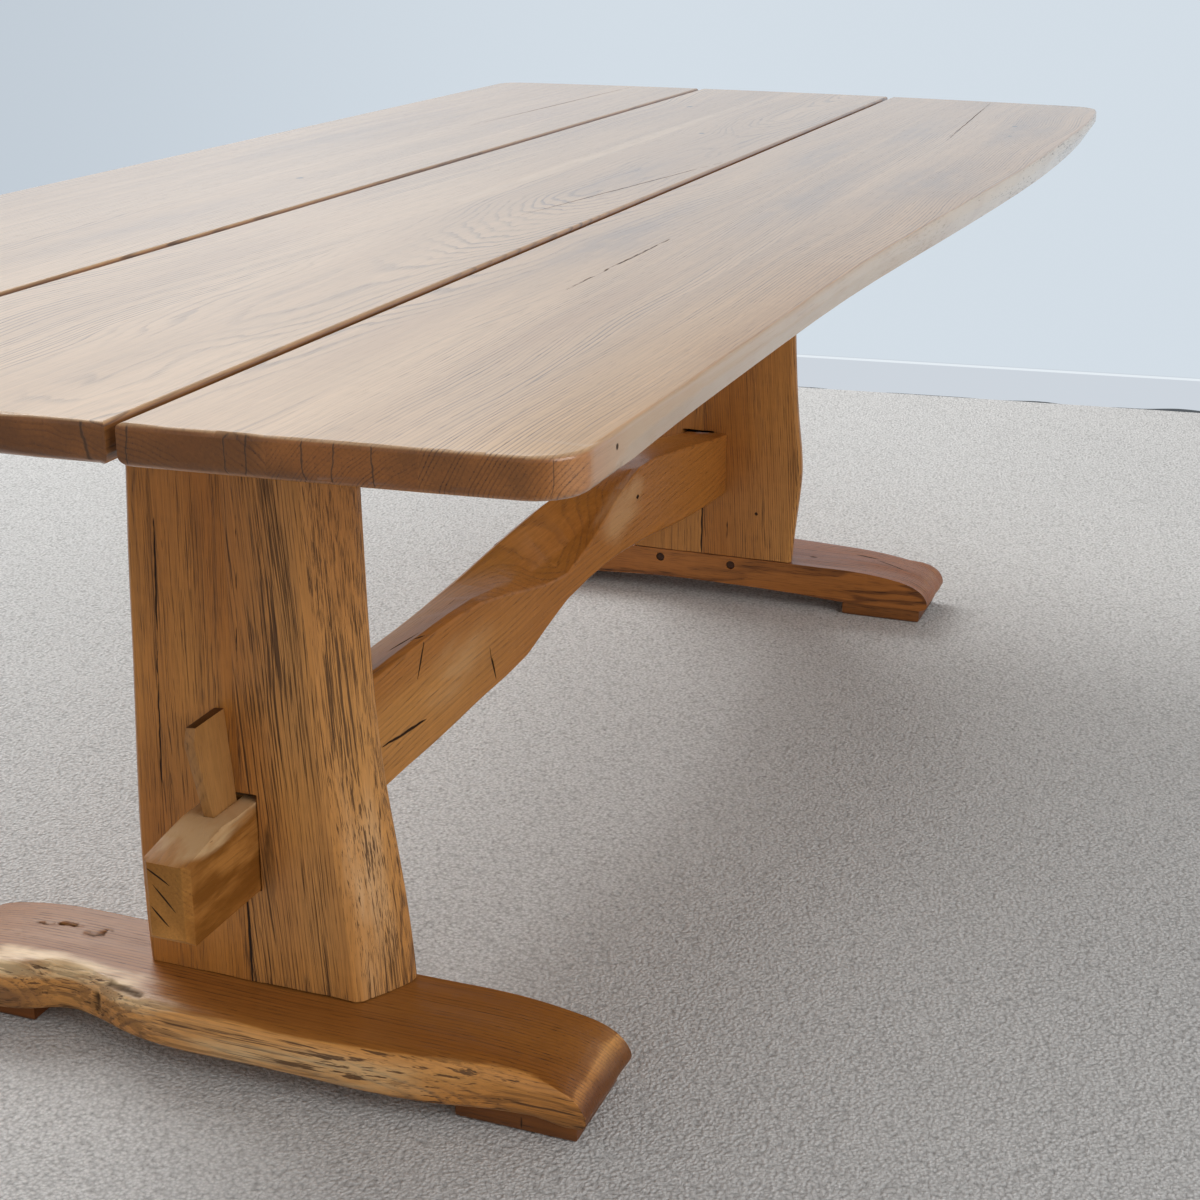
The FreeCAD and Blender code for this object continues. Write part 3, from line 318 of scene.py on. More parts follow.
class OakSurface:
    """An oak material while its layers are added: its colour, height and roughness so far."""

    def __init__(self, name, finish, grain, slope):
        self.material, self.graph = new_material(name)
        self.finish = finish
        graph, order = self.graph, AXIS_ORDER[grain]
        self.place = graph.add("ShaderNodeTexCoord").outputs["Object"]
        parts = graph.split(self.place)
        self.along, across, depth = [parts[index] for index in order]
        across = graph.minus(across, graph.times(self.along, slope[0]))
        depth = graph.minus(depth, graph.times(self.along, slope[1]))
        self.vector = graph.join(self.along, across, depth)
        self.facing = graph.split(graph.add("ShaderNodeNewGeometry").outputs["Normal"])
        self.endward, self.edgeward = [
            graph.math("ABSOLUTE", self.facing[index]) for index in order[:2]]
        self.end = graph.step(self.endward, 0.55, 0.9)
        self.side = graph.rest(self.end)
        self.clear = 1.0

    def keep_corners(self):
        """Let the bare live edge fade out at the rounded corners of the top."""
        graph = self.graph
        self.corner = graph.rest(graph.step(graph.math("ABSOLUTE", self.along), 1.0, 1.13))
        self.side = graph.times(graph.rest(graph.step(self.endward, 0.15, 0.5)),
                                graph.plus(0.25, graph.times(self.corner, 0.75)))

    def place_knots(self, knots):
        """The masks of the knots, and how far the rings swerve round them."""
        graph = self.graph
        masks, swirl = [], 0.0
        for centre, size in knots:
            patch = graph.group(shared_group("patch"), {
                "Vector": self.place, "Centre": centre, "Size": (size * 1.6, size, size * 3),
                "Border": 0.45, "Ragged": 0.5})
            near = graph.over(size * 0.9, graph.plus(patch["Distance"], 1.2))
            swirl = graph.plus(swirl, near)
            masks.append(patch["Mask"])
        return masks, swirl

    def grow(self, figure, swirl, contrast, tone):
        """The wood itself: slow bands, rings, pores and fibres."""
        graph, finish = self.graph, self.finish
        oak = graph.group(shared_group("figure"), {"Vector": self.vector, "Swirl": swirl, **figure})
        light, deep, line, pore = [
            rgba(part * tint for part, tint in zip(colour, tone))
            for colour in (finish.light, finish.deep, finish.line, finish.pore)]
        colour = graph.mix(graph.step(oak["Slow"], 0.3, 0.72), light, deep)
        ringed = graph.rest(graph.times(self.end, 0.35))
        ringed = graph.times(ringed, finish.line_strength * contrast)
        colour = graph.mix(graph.times(oak["Line"], ringed), colour, line)
        pored = graph.times(oak["Pore"], finish.pore_strength * contrast)
        colour = graph.mix(pored, colour, pore)
        tint = graph.plus(graph.times(oak["Fibre"], finish.fibre_contrast),
                          1.0 - finish.fibre_contrast / 2)
        self.colour = graph.shade(colour, tint)
        self.height = graph.minus(graph.times(oak["Fibre"], 0.35), graph.times(oak["Pore"], 0.8))
        self.rough = graph.plus(finish.roughness, graph.times(oak["Pore"], 0.15))

    def tone_top(self, top_tone):
        """Tint the upper faces and the ends, with a ragged border, and clear them of streaks."""
        graph = self.graph
        ragged = graph.noise(graph.stretch(self.vector, (14.0, 60.0, 60.0), 4.0), 2.0)
        upward = graph.plus(self.facing[2], graph.times(ragged, 0.2))
        upward = graph.larger(graph.step(upward, 0.90, 1.0), self.end)
        self.colour = graph.mix(upward, self.colour, rgba(top_tone), "MULTIPLY")
        self.clear = graph.rest(graph.times(upward, 0.8))

    def add_flecks(self):
        """Short pale flecks across the grain, and the mottle that stains follow."""
        graph = self.graph
        fleck = graph.noise(graph.stretch(self.vector, (120.0, 16.0, 16.0), 5.0), 2.0)
        self.colour = graph.shade(self.colour, graph.plus(0.94, graph.times(fleck, 0.12)))
        mottle = graph.noise(graph.stretch(self.vector, (12.0, 48.0, 48.0), 7.0), 3.0, 0.6)
        self.mottle = graph.step(mottle, 0.3, 0.6)

    def stain_and_painted_light(self, patches):
        """Mottled stains on the long faces."""
        graph = self.graph
        for centre, size, stain_and_painted_light, strength, border in patches:
            patch = graph.group(shared_group("patch"), {
                "Vector": self.place, "Centre": centre, "Size": size, "Border": border,
                "Ragged": 0.9})
            mottled = graph.plus(graph.times(self.mottle, 0.7 * strength), 0.3 * strength)
            factor = graph.times(graph.times(patch["Mask"], self.side), mottled)
            self.colour = graph.mix(factor, self.colour, rgba(stain_and_painted_light))

    def bare_edge(self, pale):
        """The bare wood of the live edge, browner near one end, between warm borders."""
        graph, finish = self.graph, self.finish
        warm = graph.times(graph.step(self.edgeward, 0.04, 0.25), self.side)
        colour = graph.mix(graph.times(warm, 0.35), self.colour, rgba(finish.arris), "MULTIPLY")
        bare = graph.times(graph.step(self.edgeward, 0.35, 0.75), self.side)
        clouded = graph.plus(0.65, graph.times(self.mottle, 0.3))
        bleached = graph.mix(graph.step(self.along, -1.0, 0.3), rgba(TAN), rgba(pale))
        self.colour = graph.mix(graph.times(bare, clouded), colour, bleached)
        self.clear = graph.times(bare, graph.step(self.along, -0.6, 0.5))

    def keep_bark_side(self, outward):
        """Keep the weathered streaks to the side where the bark was."""
        graph = self.graph
        bark_side = graph.step(graph.times(self.facing[0], outward), 0.0, 0.35)
        self.clear = graph.times(self.clear, graph.plus(0.1, graph.times(bark_side, 0.9)))

    def weather(self, streaks):
        """Layers of dark streaks, a little sunk and dull."""
        graph = self.graph
        for cover, width, length, seed, strength in streaks:
            marks = graph.group(shared_group("streaks"), {
                "Vector": self.vector, "Width": width, "Length": length, "Cover": cover,
                "Seed": seed})["Mask"]
            marks = graph.times(marks, self.clear)
            self.colour = graph.mix(graph.times(marks, strength), self.colour,
                                    rgba(self.finish.weathered))
            self.height = graph.minus(self.height, graph.times(marks, 0.9))
            self.rough = graph.plus(self.rough, graph.times(marks, 0.2))

    def darken_ends(self, ends):
        """Tint the end grain and cloud it."""
        graph, finish = self.graph, self.finish
        colour = graph.mix(graph.times(self.end, finish.end_strength * ends), self.colour,
                           rgba(finish.end_grain), "MULTIPLY")
        cloud = graph.noise(graph.stretch(self.place, (13.0, 13.0, 13.0), 6.0), 2.0)
        cloud = graph.plus(0.7, graph.times(graph.step(cloud, 0.35, 0.65), 0.75))
        self.colour = graph.shade(colour, cloud, graph.times(self.end, 0.85))

    def wear_arris(self, arris, live_edge):
        """Darken the rounded upper edges; a live edge has them at its corners and ends only."""
        graph = self.graph
        level = graph.rest(graph.step(self.facing[2], 0.35, 0.985))
        if live_edge:
            cornered = graph.larger(graph.step(self.endward, 0.02, 0.2), graph.rest(self.corner))
            level = graph.times(level, cornered)
        self.colour = graph.mix(graph.times(level, arris), self.colour, rgba(self.finish.arris),
                                "MULTIPLY")

    def shade_gap_sides(self, gap_shade):
        """Darken the upright long sides, where dirt gathers in the gaps."""
        level = self.graph.times(self.graph.step(self.edgeward, 0.75, 0.97), gap_shade)
        self.colour = self.graph.mix(level, self.colour, rgba(self.finish.crack), "MULTIPLY")

    def end_splits(self):
        """A mask of the crooked splits that the ends get as they dry."""
        graph = self.graph
        crook = graph.noise(graph.stretch(self.vector, (1.0, 90.0, 90.0)), 2.0)
        crook = graph.join(0.0, graph.times(crook, 0.005), 0.0)
        place = graph.vectors("ADD", self.vector, crook)
        nearness = graph.noise(graph.stretch(place, (6.0, 13.0, 1.5), 2.0), 1.0)
        nearness = graph.math("ABSOLUTE", graph.minus(nearness, 0.5))
        return graph.times(graph.rest(graph.step(nearness, 0.001, 0.0055)), self.end)

    def open_cracks(self, cracks, splits):
        """The dark of carved checks, cracks and splits, which sink and lose their polish."""
        graph = self.graph
        dark = graph.add("ShaderNodeAttribute", attribute_name="carved").outputs["Fac"]
        dark = graph.times(graph.step(dark, 0.15, 0.9), 0.85)
        for start, stop, half_width in cracks:
            mask = graph.group(shared_group("crack"), {
                "Vector": self.place, "Start": start, "End": stop,
                "Half Width": half_width})["Mask"]
            dark = graph.larger(dark, mask)
        if splits:
            dark = graph.larger(dark, graph.times(self.end_splits(), splits))
        self.colour = graph.mix(dark, self.colour, rgba(self.finish.crack))
        self.height = graph.minus(self.height, graph.times(dark, 1.5))
        self.rough = graph.plus(self.rough, graph.times(dark, 0.5), clamp=True)
        self.polish = graph.rest(graph.larger(dark, graph.times(self.end, 0.6)))

    def wax_over(self, wax, shine):
        """The finished material, oiled and waxed."""
        graph, finish = self.graph, self.finish
        bump = graph.add("ShaderNodeBump", {"Strength": 0.55, "Distance": finish.grain_depth,
                                            "Height": self.height})
        shader = graph.add("ShaderNodeBsdfPrincipled", {
            "Base Color": self.colour, "Roughness": self.rough, "Normal": bump.outputs[0],
            "IOR": 1.48, "Specular IOR Level": finish.gloss * shine,
            "Coat Weight": graph.times(self.polish, finish.coat * wax), "Coat Roughness": 0.17})
        graph.show(shader.outputs[0])
        return self.material


def oak_material(name, finish, grain, figure, streaks=(), patches=(), knots=(), cracks=(),
                 contrast=1.0, tone=(1.0, 1.0, 1.0), top_tone=None, arris=0.0, wax=1.0,
                 splits=0.0, live_edge=None, slope=(0.0, 0.0), ends=1.0, gap_shade=0.0,
                 shine=1.0, outward=0.0):
    """An oiled oak material. finish is the settings group that holds its colours, grain is the
    axis that the fibres follow, and figure places the pith. streaks are layers of weathered
    marks as (cover, width, length, seed, strength), patches are stains as (centre, size, colour,
    strength, border), knots are (centre, size) and cracks (start, end, half width). contrast
    scales the rings and pores, tone tints the whole piece, top_tone its upper faces, arris
    darkens the rounded upper edges, wax scales the coat, splits darkens the checks in the end
    grain and ends the end grain itself. live_edge is the colour of a bare speckled edge, slope is
    how far the grain runs out of true, across and in depth, for each metre along it, and grime
    darkens the upright long sides. shine scales the reflections, and outward is the sign of X on
    the side that keeps its streaks."""
    wood = OakSurface(name, finish, grain, slope)
    if live_edge:
        wood.keep_corners()
    knot_masks, swirl = wood.place_knots(knots)
    wood.grow(figure, swirl, contrast, tone)
    if top_tone:
        wood.tone_top(top_tone)
    wood.add_flecks()
    wood.stain_and_painted_light(patches)
    if live_edge:
        wood.bare_edge(live_edge)
    if outward:
        wood.keep_bark_side(outward)
    wood.weather(streaks)
    for mask in knot_masks:
        wood.colour = wood.graph.mix(mask, wood.colour, rgba(finish.knot))
    wood.darken_ends(ends)
    if arris:
        wood.wear_arris(arris, live_edge)
    if gap_shade:
        wood.shade_gap_sides(gap_shade)
    wood.open_cracks(cracks, splits)
    return wood.wax_over(wax, shine)


def steel_material():
    """Zinc-plated steel with fine turning marks and dulled edges."""
    material, graph = new_material("Zinc plated steel")
    place = graph.add("ShaderNodeTexCoord").outputs["Object"]
    cloud = graph.noise(graph.stretch(place, (700.0, 700.0, 700.0)), 3.0)
    rings = graph.noise(graph.stretch(place, (200.0, 200.0, 4000.0)), 1.0)
    colour = graph.mix(cloud, (0.52, 0.51, 0.47, 1.0), (0.70, 0.69, 0.66, 1.0))
    rough = graph.plus(0.28, graph.times(cloud, 0.3))
    bump = graph.add("ShaderNodeBump", {"Strength": 0.4, "Distance": 0.0001, "Height": rings})
    shader = graph.add("ShaderNodeBsdfPrincipled", {
        "Base Color": colour, "Metallic": 1.0, "Roughness": rough, "Normal": bump.outputs[0]})
    graph.show(shader.outputs[0])
    return material


# ------------------------------------------------------------------ worked pieces

# metres and radians
CLOSE_TOGETHER = 0.0022
SEAM_REACH = 4e-4
FLAT, SHARP, CREASED = math.radians(0.4), math.radians(28), math.radians(40)
# how far from the middle of the table facets are cut
FACETS_BEYOND = 0.765
# waves of wear in a metre, across and along the grain, and those of a check's ragged border
WEAR_ACROSS, WEAR_ALONG, RAGGEDNESS = 38.0, 7.0, 90.0


def oak_name(node):
    """The material's name for a node."""
    return f"Oak {node.replace('_', ' ')}"


def dress_node(node, material):
    """Give a carried-over CAD node its material."""
    mesh = frame["nodes"][node].data
    mesh.materials.clear()
    mesh.materials.append(material)


def settle(piece, node, material):
    """Finish a piece that stands for a CAD node: its material, its body and its slot."""
    piece.data.materials.clear()
    piece.data.materials.append(material)
    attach(piece, next(body for body, nodes in BODIES.items() if node in nodes))
    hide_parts(node)


def welded_copy(node, name):
    """A new object with a copy of a CAD node's mesh, its split vertices joined."""
    mesh = frame["nodes"][node].data.copy()
    work = bmesh.new()
    work.from_mesh(mesh)
    bmesh.ops.remove_doubles(work, verts=work.verts, dist=1e-5)
    work.to_mesh(mesh)
    work.free()
    piece = bpy.data.objects.new(name, mesh)
    bpy.context.scene.collection.objects.link(piece)
    return piece


def read_points(mesh):
    """The places and normals of a mesh's vertices."""
    places, normals = np.empty(len(mesh.vertices) * 3), np.empty(len(mesh.vertices) * 3)
    mesh.vertices.foreach_get("co", places)
    mesh.vertices.foreach_get("normal", normals)
    return places.reshape(-1, 3), normals.reshape(-1, 3)


def segment_distance(places, start, end):
    """Distance of every place from a line segment."""
    way = end - start
    share = np.clip(((places - start) @ way) / max(way @ way, 1e-12), 0.0, 1.0)
    return np.linalg.norm(places - (start + share[:, None] * way), axis=1)


def steady_normals(mesh, places, normals):
    """The normals, shared out among vertices that lie closer than the wear is deep, so that
    narrow faces don't fold over."""
    pairs = np.empty(len(mesh.edges) * 2, int)
    mesh.edges.foreach_get("vertices", pairs)
    first, second = pairs.reshape(-1, 2).T
    close = np.linalg.norm(places[first] - places[second], axis=1) < CLOSE_TOGETHER
    first, second = first[close], second[close]
    for _ in range(8):
        shared = normals.copy()
        np.add.at(shared, first, normals[second])
        np.add.at(shared, second, normals[first])
        normals = shared / np.maximum(np.linalg.norm(shared, axis=1, keepdims=True), 1e-6)
    return normals


def on_seam(places, seams):
    """Which places lie on one of the glue lines, given as (axis, place)."""
    found = np.zeros(len(places), bool)
    for axis, place in seams:
        found |= np.abs(places[:, "XYZ".index(axis)] - place) < SEAM_REACH
    return found


def work_surface(piece, grain, unevenness, checks=(), seams=()):
    """Wear a piece by hand: sink its faces a little, unevenly along the grain, and open its
    drying checks. Each check is (points, half width, depth). Seams stay tight."""
    mesh = piece.data
    places, normals = read_points(mesh)
    scales = np.full(3, WEAR_ACROSS)
    scales[AXIS_ORDER[grain][0]] = WEAR_ALONG
    waves = np.array([noise.noise(Vector(point)) for point in places * scales])
    depth = unevenness * (0.5 + 0.5 * np.clip(1.6 * waves, -1, 1))
    carved = np.zeros(len(places))
    ragged = 1.0 + 0.6 * np.array([noise.noise(Vector(point)) for point in places * RAGGEDNESS])
    for points, half_width, cut in checks:
        for start, end in zip(points, points[1:]):
            reach = segment_distance(places, np.array(start), np.array(end)) * ragged
            share = np.clip(1.0 - reach / half_width, 0.0, 1.0)
            carved = np.maximum(carved, share)
            depth = np.maximum(depth, cut * share)
    normals = steady_normals(mesh, places, normals)
    for axis, place in seams:
        index = "XYZ".index(axis)
        held = on_seam(places, [(axis, place)])
        normals[held, index] = 0.0
    length = np.maximum(np.linalg.norm(normals, axis=1, keepdims=True), 1e-6)
    places -= normals / length * depth[:, None]
    mesh.vertices.foreach_set("co", places.ravel())
    if checks:
        mesh.attributes.new("carved", "FLOAT", "POINT").data.foreach_set("value", carved)
    mesh.update()


def with_borders(faces):
    """The faces with their edges and corners, each once, in a fixed order."""
    edges = dict.fromkeys(edge for face in faces for edge in face.edges)
    verts = dict.fromkeys(vert for face in faces for vert in face.verts)
    return [*faces, *edges, *verts]


def cut_across(work, axis, places):
    """Cut a mesh by planes across an axis."""
    index = "XYZ".index(axis)
    normal = [float(index == other) for other in range(3)]
    for place in places:
        near = [face for face in work.faces
                if min(vert.co[index] for vert in face.verts) < place - 1e-5
                and max(vert.co[index] for vert in face.verts) > place + 1e-5]
        bmesh.ops.bisect_plane(work, geom=with_borders(near), dist=1e-6,
                               plane_co=[part * place for part in normal], plane_no=normal)


def cut_facet(work, corners):
    """Slice off what lies above the plane through three corners, near the end of the table."""
    first, second, third = [Vector(corner) for corner in corners]
    outward = (second - first).cross(third - first)
    outward *= math.copysign(1.0, outward.z)
    way, beyond = math.copysign(1.0, first.x), FACETS_BEYOND - 1e-4
    faces = [face for face in work.faces if all(vert.co.x * way > beyond for vert in face.verts)]
    made = bmesh.ops.bisect_plane(work, geom=with_borders(faces), dist=1e-6, plane_co=first,
                                  plane_no=outward, clear_outer=True)
    rim = [part for part in made["geom_cut"] if isinstance(part, bmesh.types.BMEdge)]
    bmesh.ops.contextual_create(work, geom=rim)


def gridded_piece(node, name, material, grain, cuts, softness, unevenness, seams=(), checks=(),
                  facets=(), shape=None):
    """A copy of a CAD node with softened edges and a grid of cuts, worn by hand. cuts are the
    spacing along each axis; the edges on a seam, given as (axis, place), stay sharp. facets are
    planes that slice corners off, each given by three places, and shape is a function that
    changes the array of places before the faces are worn."""
    piece = welded_copy(node, name)
    low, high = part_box(node)
    work = bmesh.new()
    work.from_mesh(piece.data)
    bmesh.ops.dissolve_limit(work, angle_limit=FLAT, verts=work.verts, edges=work.edges)
    if facets:
        cut_across(work, "X", (-FACETS_BEYOND, FACETS_BEYOND))
    for corners in facets:
        cut_facet(work, corners)
    if softness:
        sharp = []
        for edge in work.edges:
            ends = np.array([vert.co[:] for vert in edge.verts])
            if edge.calc_face_angle(0.0) > SHARP and not on_seam(ends, seams).all():
                sharp.append(edge)
        bmesh.ops.bevel(work, geom=sharp, offset=softness, segments=2, profile=0.7,
                        affect="EDGES", clamp_overlap=True)
    for axis, spacing in cuts.items():
        index = "XYZ".index(axis)
        cut_across(work, axis, np.arange(low[index] + spacing / 2, high[index], spacing))
    for face in work.faces:
        face.smooth = True
    for edge in work.edges:
        edge.smooth = edge.calc_face_angle(0.0) < CREASED
    work.to_mesh(piece.data)
    work.free()
    if shape:
        places, _ = read_points(piece.data)
        piece.data.vertices.foreach_set("co", shape(places).ravel())
        piece.data.update()
    if unevenness or checks:
        work_surface(piece, grain, unevenness, checks, seams)
    settle(piece, node, material)
    return piece


# ------------------------------------------------------------------ settings

def colour_setting(name, description, default):
    return FloatVectorProperty(name=name, description=description, default=default,
                               subtype="COLOR", size=3, min=0.0, max=1.0)


def share_setting(name, description, default):
    return FloatProperty(name=name, description=description, default=default,
                         subtype="FACTOR", min=0.0, max=1.0)


FINISH_SETTINGS = [
    # a key, its label, what it says, and its defaults for the top and for the frame
    ("light", "Light wood", "Palest wood between the rings", (0.54, 0.335, 0.170), (0.54, 0.255, 0.070)),
    ("deep", "Deep wood", "Wood in the darker bands", (0.42, 0.245, 0.113), (0.40, 0.155, 0.033)),
    ("line", "Ring line", "Colour of the growth rings", (0.12, 0.06, 0.03), (0.19, 0.085, 0.030)),
    ("pore", "Pore", "Colour in the open pores", (0.09, 0.045, 0.022), (0.10, 0.045, 0.018)),
    ("weathered", "Weathered", "Dark weathered marks", (0.10, 0.06, 0.035), (0.075, 0.034, 0.014)),
    ("knot", "Knot", "Colour of the knots", (0.05, 0.03, 0.02), (0.04, 0.022, 0.013)),
    # the crack colour also serves as painted shade on the inner planks' long sides and on the tenon's
    # top in the far mortise
    ("crack", "Crack", "Inside the drying checks", (0.05, 0.028, 0.016), (0.03, 0.016, 0.009)),
    ("end_grain", "End grain", "Tint of the end grain", (0.50, 0.40, 0.21), (0.62, 0.52, 0.42)),
    ("arris", "Worn edge", "Tint of the rounded edges", (0.80, 0.52, 0.29), (0.8, 0.7, 0.6)),
    ("line_strength", "Ring contrast", "How strongly the rings show", 0.95, 0.62),
    ("pore_strength", "Pore contrast", "How strongly the pores show", 0.9, 0.85),
    ("fibre_contrast", "Fibre contrast", "Lightness range of the fine fibres", 0.6, 0.65),
    ("end_strength", "End darkening", "How far the end grain darkens", 0.85, 0.7),
    ("roughness", "Roughness", "Roughness of the oiled surface", 0.33, 0.36),
    ("gloss", "Gloss", "Strength of the reflections", 0.3, 0.25),
    ("coat", "Wax", "Strength of the wax coat's reflections", 0.85, 0.22),
]


def finish_group(name, summary, column, grain_depth):
    """A settings group with a finish's colours and gloss, its defaults from one column."""
    settings = {}
    for key, label, description, *defaults in FINISH_SETTINGS:
        kind = colour_setting if isinstance(defaults[column], tuple) else share_setting
        settings[key] = kind(label, description, defaults[column])
    settings["grain_depth"] = FloatProperty(
        name="Grain depth", description="Depth of the open grain", default=grain_depth, min=0.0,
        subtype="DISTANCE", unit="LENGTH")
    return type(name, (bpy.types.PropertyGroup,),
                {"__doc__": summary, "__annotations__": settings})


TopFinish = finish_group("TopFinish", "Colours and gloss of the tabletop.", 0, 0.0005)
FrameFinish = finish_group(
    "FrameFinish", "Colours and gloss of the legs, feet, stretcher and the small pieces.", 1, 0.0008)


class StudioSettings(bpy.types.PropertyGroup):
    """Floor, backdrop, light and camera."""
    wall: colour_setting("Backdrop", "Backdrop colour behind the far end", (0.655, 0.727, 0.795))
    wall_dim: colour_setting("Dim backdrop", "Backdrop colour to the left", (0.535, 0.60, 0.668))
    wall_high: colour_setting("High backdrop", "Backdrop colour high up", (0.50, 0.455, 0.40))
    floor: colour_setting("Floor", "Colour of the carpet", (0.665, 0.67, 0.675))
    key_power: FloatProperty(name="Window light", description="Power of the large soft light",
                             default=590.0, min=0.0, unit="POWER")
    fill_power: FloatProperty(name="Fill light", description="Power of the light by the camera",
                              default=60.0, min=0.0, unit="POWER")
    ambient: FloatProperty(name="Room light", description="Strength of the light from all round",
                           default=0.49, min=0.0)
    lens: FloatProperty(name="Lens", description="Focal length of the camera", default=60.0,
                        min=1.0, unit="CAMERA")


# ------------------------------------------------------------------ the table's pieces

PLANKS = {
    # the pith's place across and in depth, its tilt, wander, ring spacing, seed and ripple
    "left_board_outer_plank": (0.62, 0.60, 0.010, 0.10, 0.0040, 1.0, 0.004),
    "left_board_inner_plank": (0.42, 0.56, -0.010, 0.06, 0.0034, 4.0, 0.005),
    "middle_board_left_plank": (0.26, 0.55, 0.015, 0.08, 0.0034, 7.0, 0.004),
    "middle_board_right_plank": (-0.095, 0.660, 0.060, 0.12, 0.0054, 2.0, 0.016),
    "right_board_inner_plank": (-0.160, 0.660, 0.050, 0.05, 0.0040, 5.0, 0.009),
    "right_board_middle_plank": (-0.50, 0.580, 0.020, 0.05, 0.0025, 8.0, 0.006),
    "right_board_outer_plank": (-0.66, 0.60, 0.012, 0.08, 0.0030, 3.0, 0.005),
}
CREAM, TAN, SAPWOOD = (0.66, 0.53, 0.39), (0.44, 0.29, 0.165), (0.64, 0.43, 0.24)
GREYED, AMBER = (0.20, 0.13, 0.10), (0.40, 0.22, 0.10)
TOP_STAINS = {
    "right_board_inner_plank": [
        ((-0.80, -0.22, TOP_FACE), (0.25, 0.04, 0.1), AMBER, 0.5, 0.9),
        ((-0.30, -0.235, TOP_FACE), (0.34, 0.05, 0.1), GREYED, 0.6, 0.9),
        ((0.35, -0.26, TOP_FACE), (0.30, 0.05, 0.1), GREYED, 0.5, 0.9)],
    "right_board_middle_plank": [
        ((-0.70, -0.335, TOP_FACE), (0.28, 0.035, 0.1), AMBER, 0.55, 0.9),
        ((0.0, -0.34, TOP_FACE), (0.40, 0.045, 0.1), GREYED, 0.5, 0.9),
        ((0.65, -0.32, TOP_FACE), (0.25, 0.045, 0.1), GREYED, 0.5, 0.9)],
    "right_board_outer_plank": [
        ((0.15, -0.44, TOP_FACE), (0.30, 0.08, 0.1), GREYED, 0.5, 0.9),
        ((0.75, -0.46, TOP_FACE), (0.30, 0.06, 0.1), GREYED, 0.5, 0.9)],
    "middle_board_left_plank": [
        ((-0.5, 0.08, TOP_FACE), (0.4, 0.04, 0.1), AMBER, 0.35, 0.9),
        ((0.35, 0.018, TOP_FACE), (0.75, 0.016, 0.1), SAPWOOD, 0.6, 0.6)],
    "middle_board_right_plank": [((0.1, -0.09, TOP_FACE), (0.30, 0.05, 0.1), GREYED, 0.4, 0.9)],
    "left_board_inner_plank": [((-0.4, 0.25, TOP_FACE), (0.35, 0.05, 0.1), GREYED, 0.35, 0.9)],
    "left_board_outer_plank": [((0.3, 0.42, TOP_FACE), (0.40, 0.07, 0.1), GREYED, 0.35, 0.9)],
}
TOP_KNOTS = {
    "middle_board_left_plank": [((0.86, 0.092, TOP_FACE), 0.006)],
    "middle_board_right_plank": [((0.527, -0.036, TOP_FACE), 0.005)],
    "right_board_outer_plank": [((0.770, -0.436, TOP_FACE), 0.005),
                                ((0.648, -0.450, TOP_FACE), 0.004)],
    "left_board_inner_plank": [((-0.075, 0.276, TOP_FACE), 0.005)],
}
TOP_CRACKS = {
    "right_board_inner_plank": [((-0.62, -0.281, TOP_FACE), (-0.30, -0.281, TOP_FACE), 0.0009)],
    "right_board_middle_plank": [((0.565, -0.377, TOP_FACE), (1.088, -0.343, TOP_FACE), 0.0010),
                                 ((-0.62, -0.282, TOP_FACE), (-0.30, -0.282, TOP_FACE), 0.0009)],
    "left_board_inner_plank": [((0.50, 0.310, TOP_FACE), (1.149, 0.288, TOP_FACE), 0.0014)],
    "middle_board_right_plank": [((-0.25, -0.082, TOP_FACE), (0.25, -0.158, TOP_FACE), 0.0013)],
    "right_board_outer_plank": [((-1.045, -0.4889, 0.7395), (-1.045, -0.4889, 0.7395), 0.011)],
}
OUTER_JOINT = -0.386
QUIET_PLANKS = ("middle_board_right_plank", "right_board_inner_plank")
INNER_PLANKS = ("left_board_inner_plank", "middle_board_left_plank", "middle_board_right_plank",
                "right_board_inner_plank")


def figure(across, depth, tilt, wander, spacing, seed, ripple=0.004):
    """The pith's place and the growth rings round it, as the figure group takes them."""
    return {"Pith Across": across, "Pith Depth": depth, "Tilt": tilt, "Wander": wander,
            "Spacing": spacing, "Seed": seed, "Ripple": ripple}


class TABLE_OT_top(bpy.types.Operator):
    """Finish the seven planks of the tabletop"""
    bl_idname = "table.top"
    bl_label = "Tabletop"

    def execute(self, context):
        finish = context.scene.table_top
        for node, values in PLANKS.items():
            live = node == "right_board_outer_plank"
            material = oak_material(
                oak_name(node), finish, "X", figure(*values),
                patches=TOP_STAINS.get(node, ()), knots=TOP_KNOTS.get(node, ()),
                cracks=TOP_CRACKS.get(node, ()), arris=0.9, splits=0.75,
                contrast=0.75 if node in QUIET_PLANKS else 1.0,
                # the inner planks' long sides get painted shade, as in the gaps between them
                gap_shade=0.45 if node in INNER_PLANKS else 0.0,
                live_edge=CREAM if live else None,
                streaks=[(0.5, 0.0016, 0.02, 9.0, 0.6)] if live else ())
            if live:
                gridded_piece(node, "live_edge_plank", material, "X",
                              {"X": 0.014, "Z": 0.006}, 0.0, 0.0, [("Y", OUTER_JOINT)])
            else:
                dress_node(node, material)
        return {"FINISHED"}


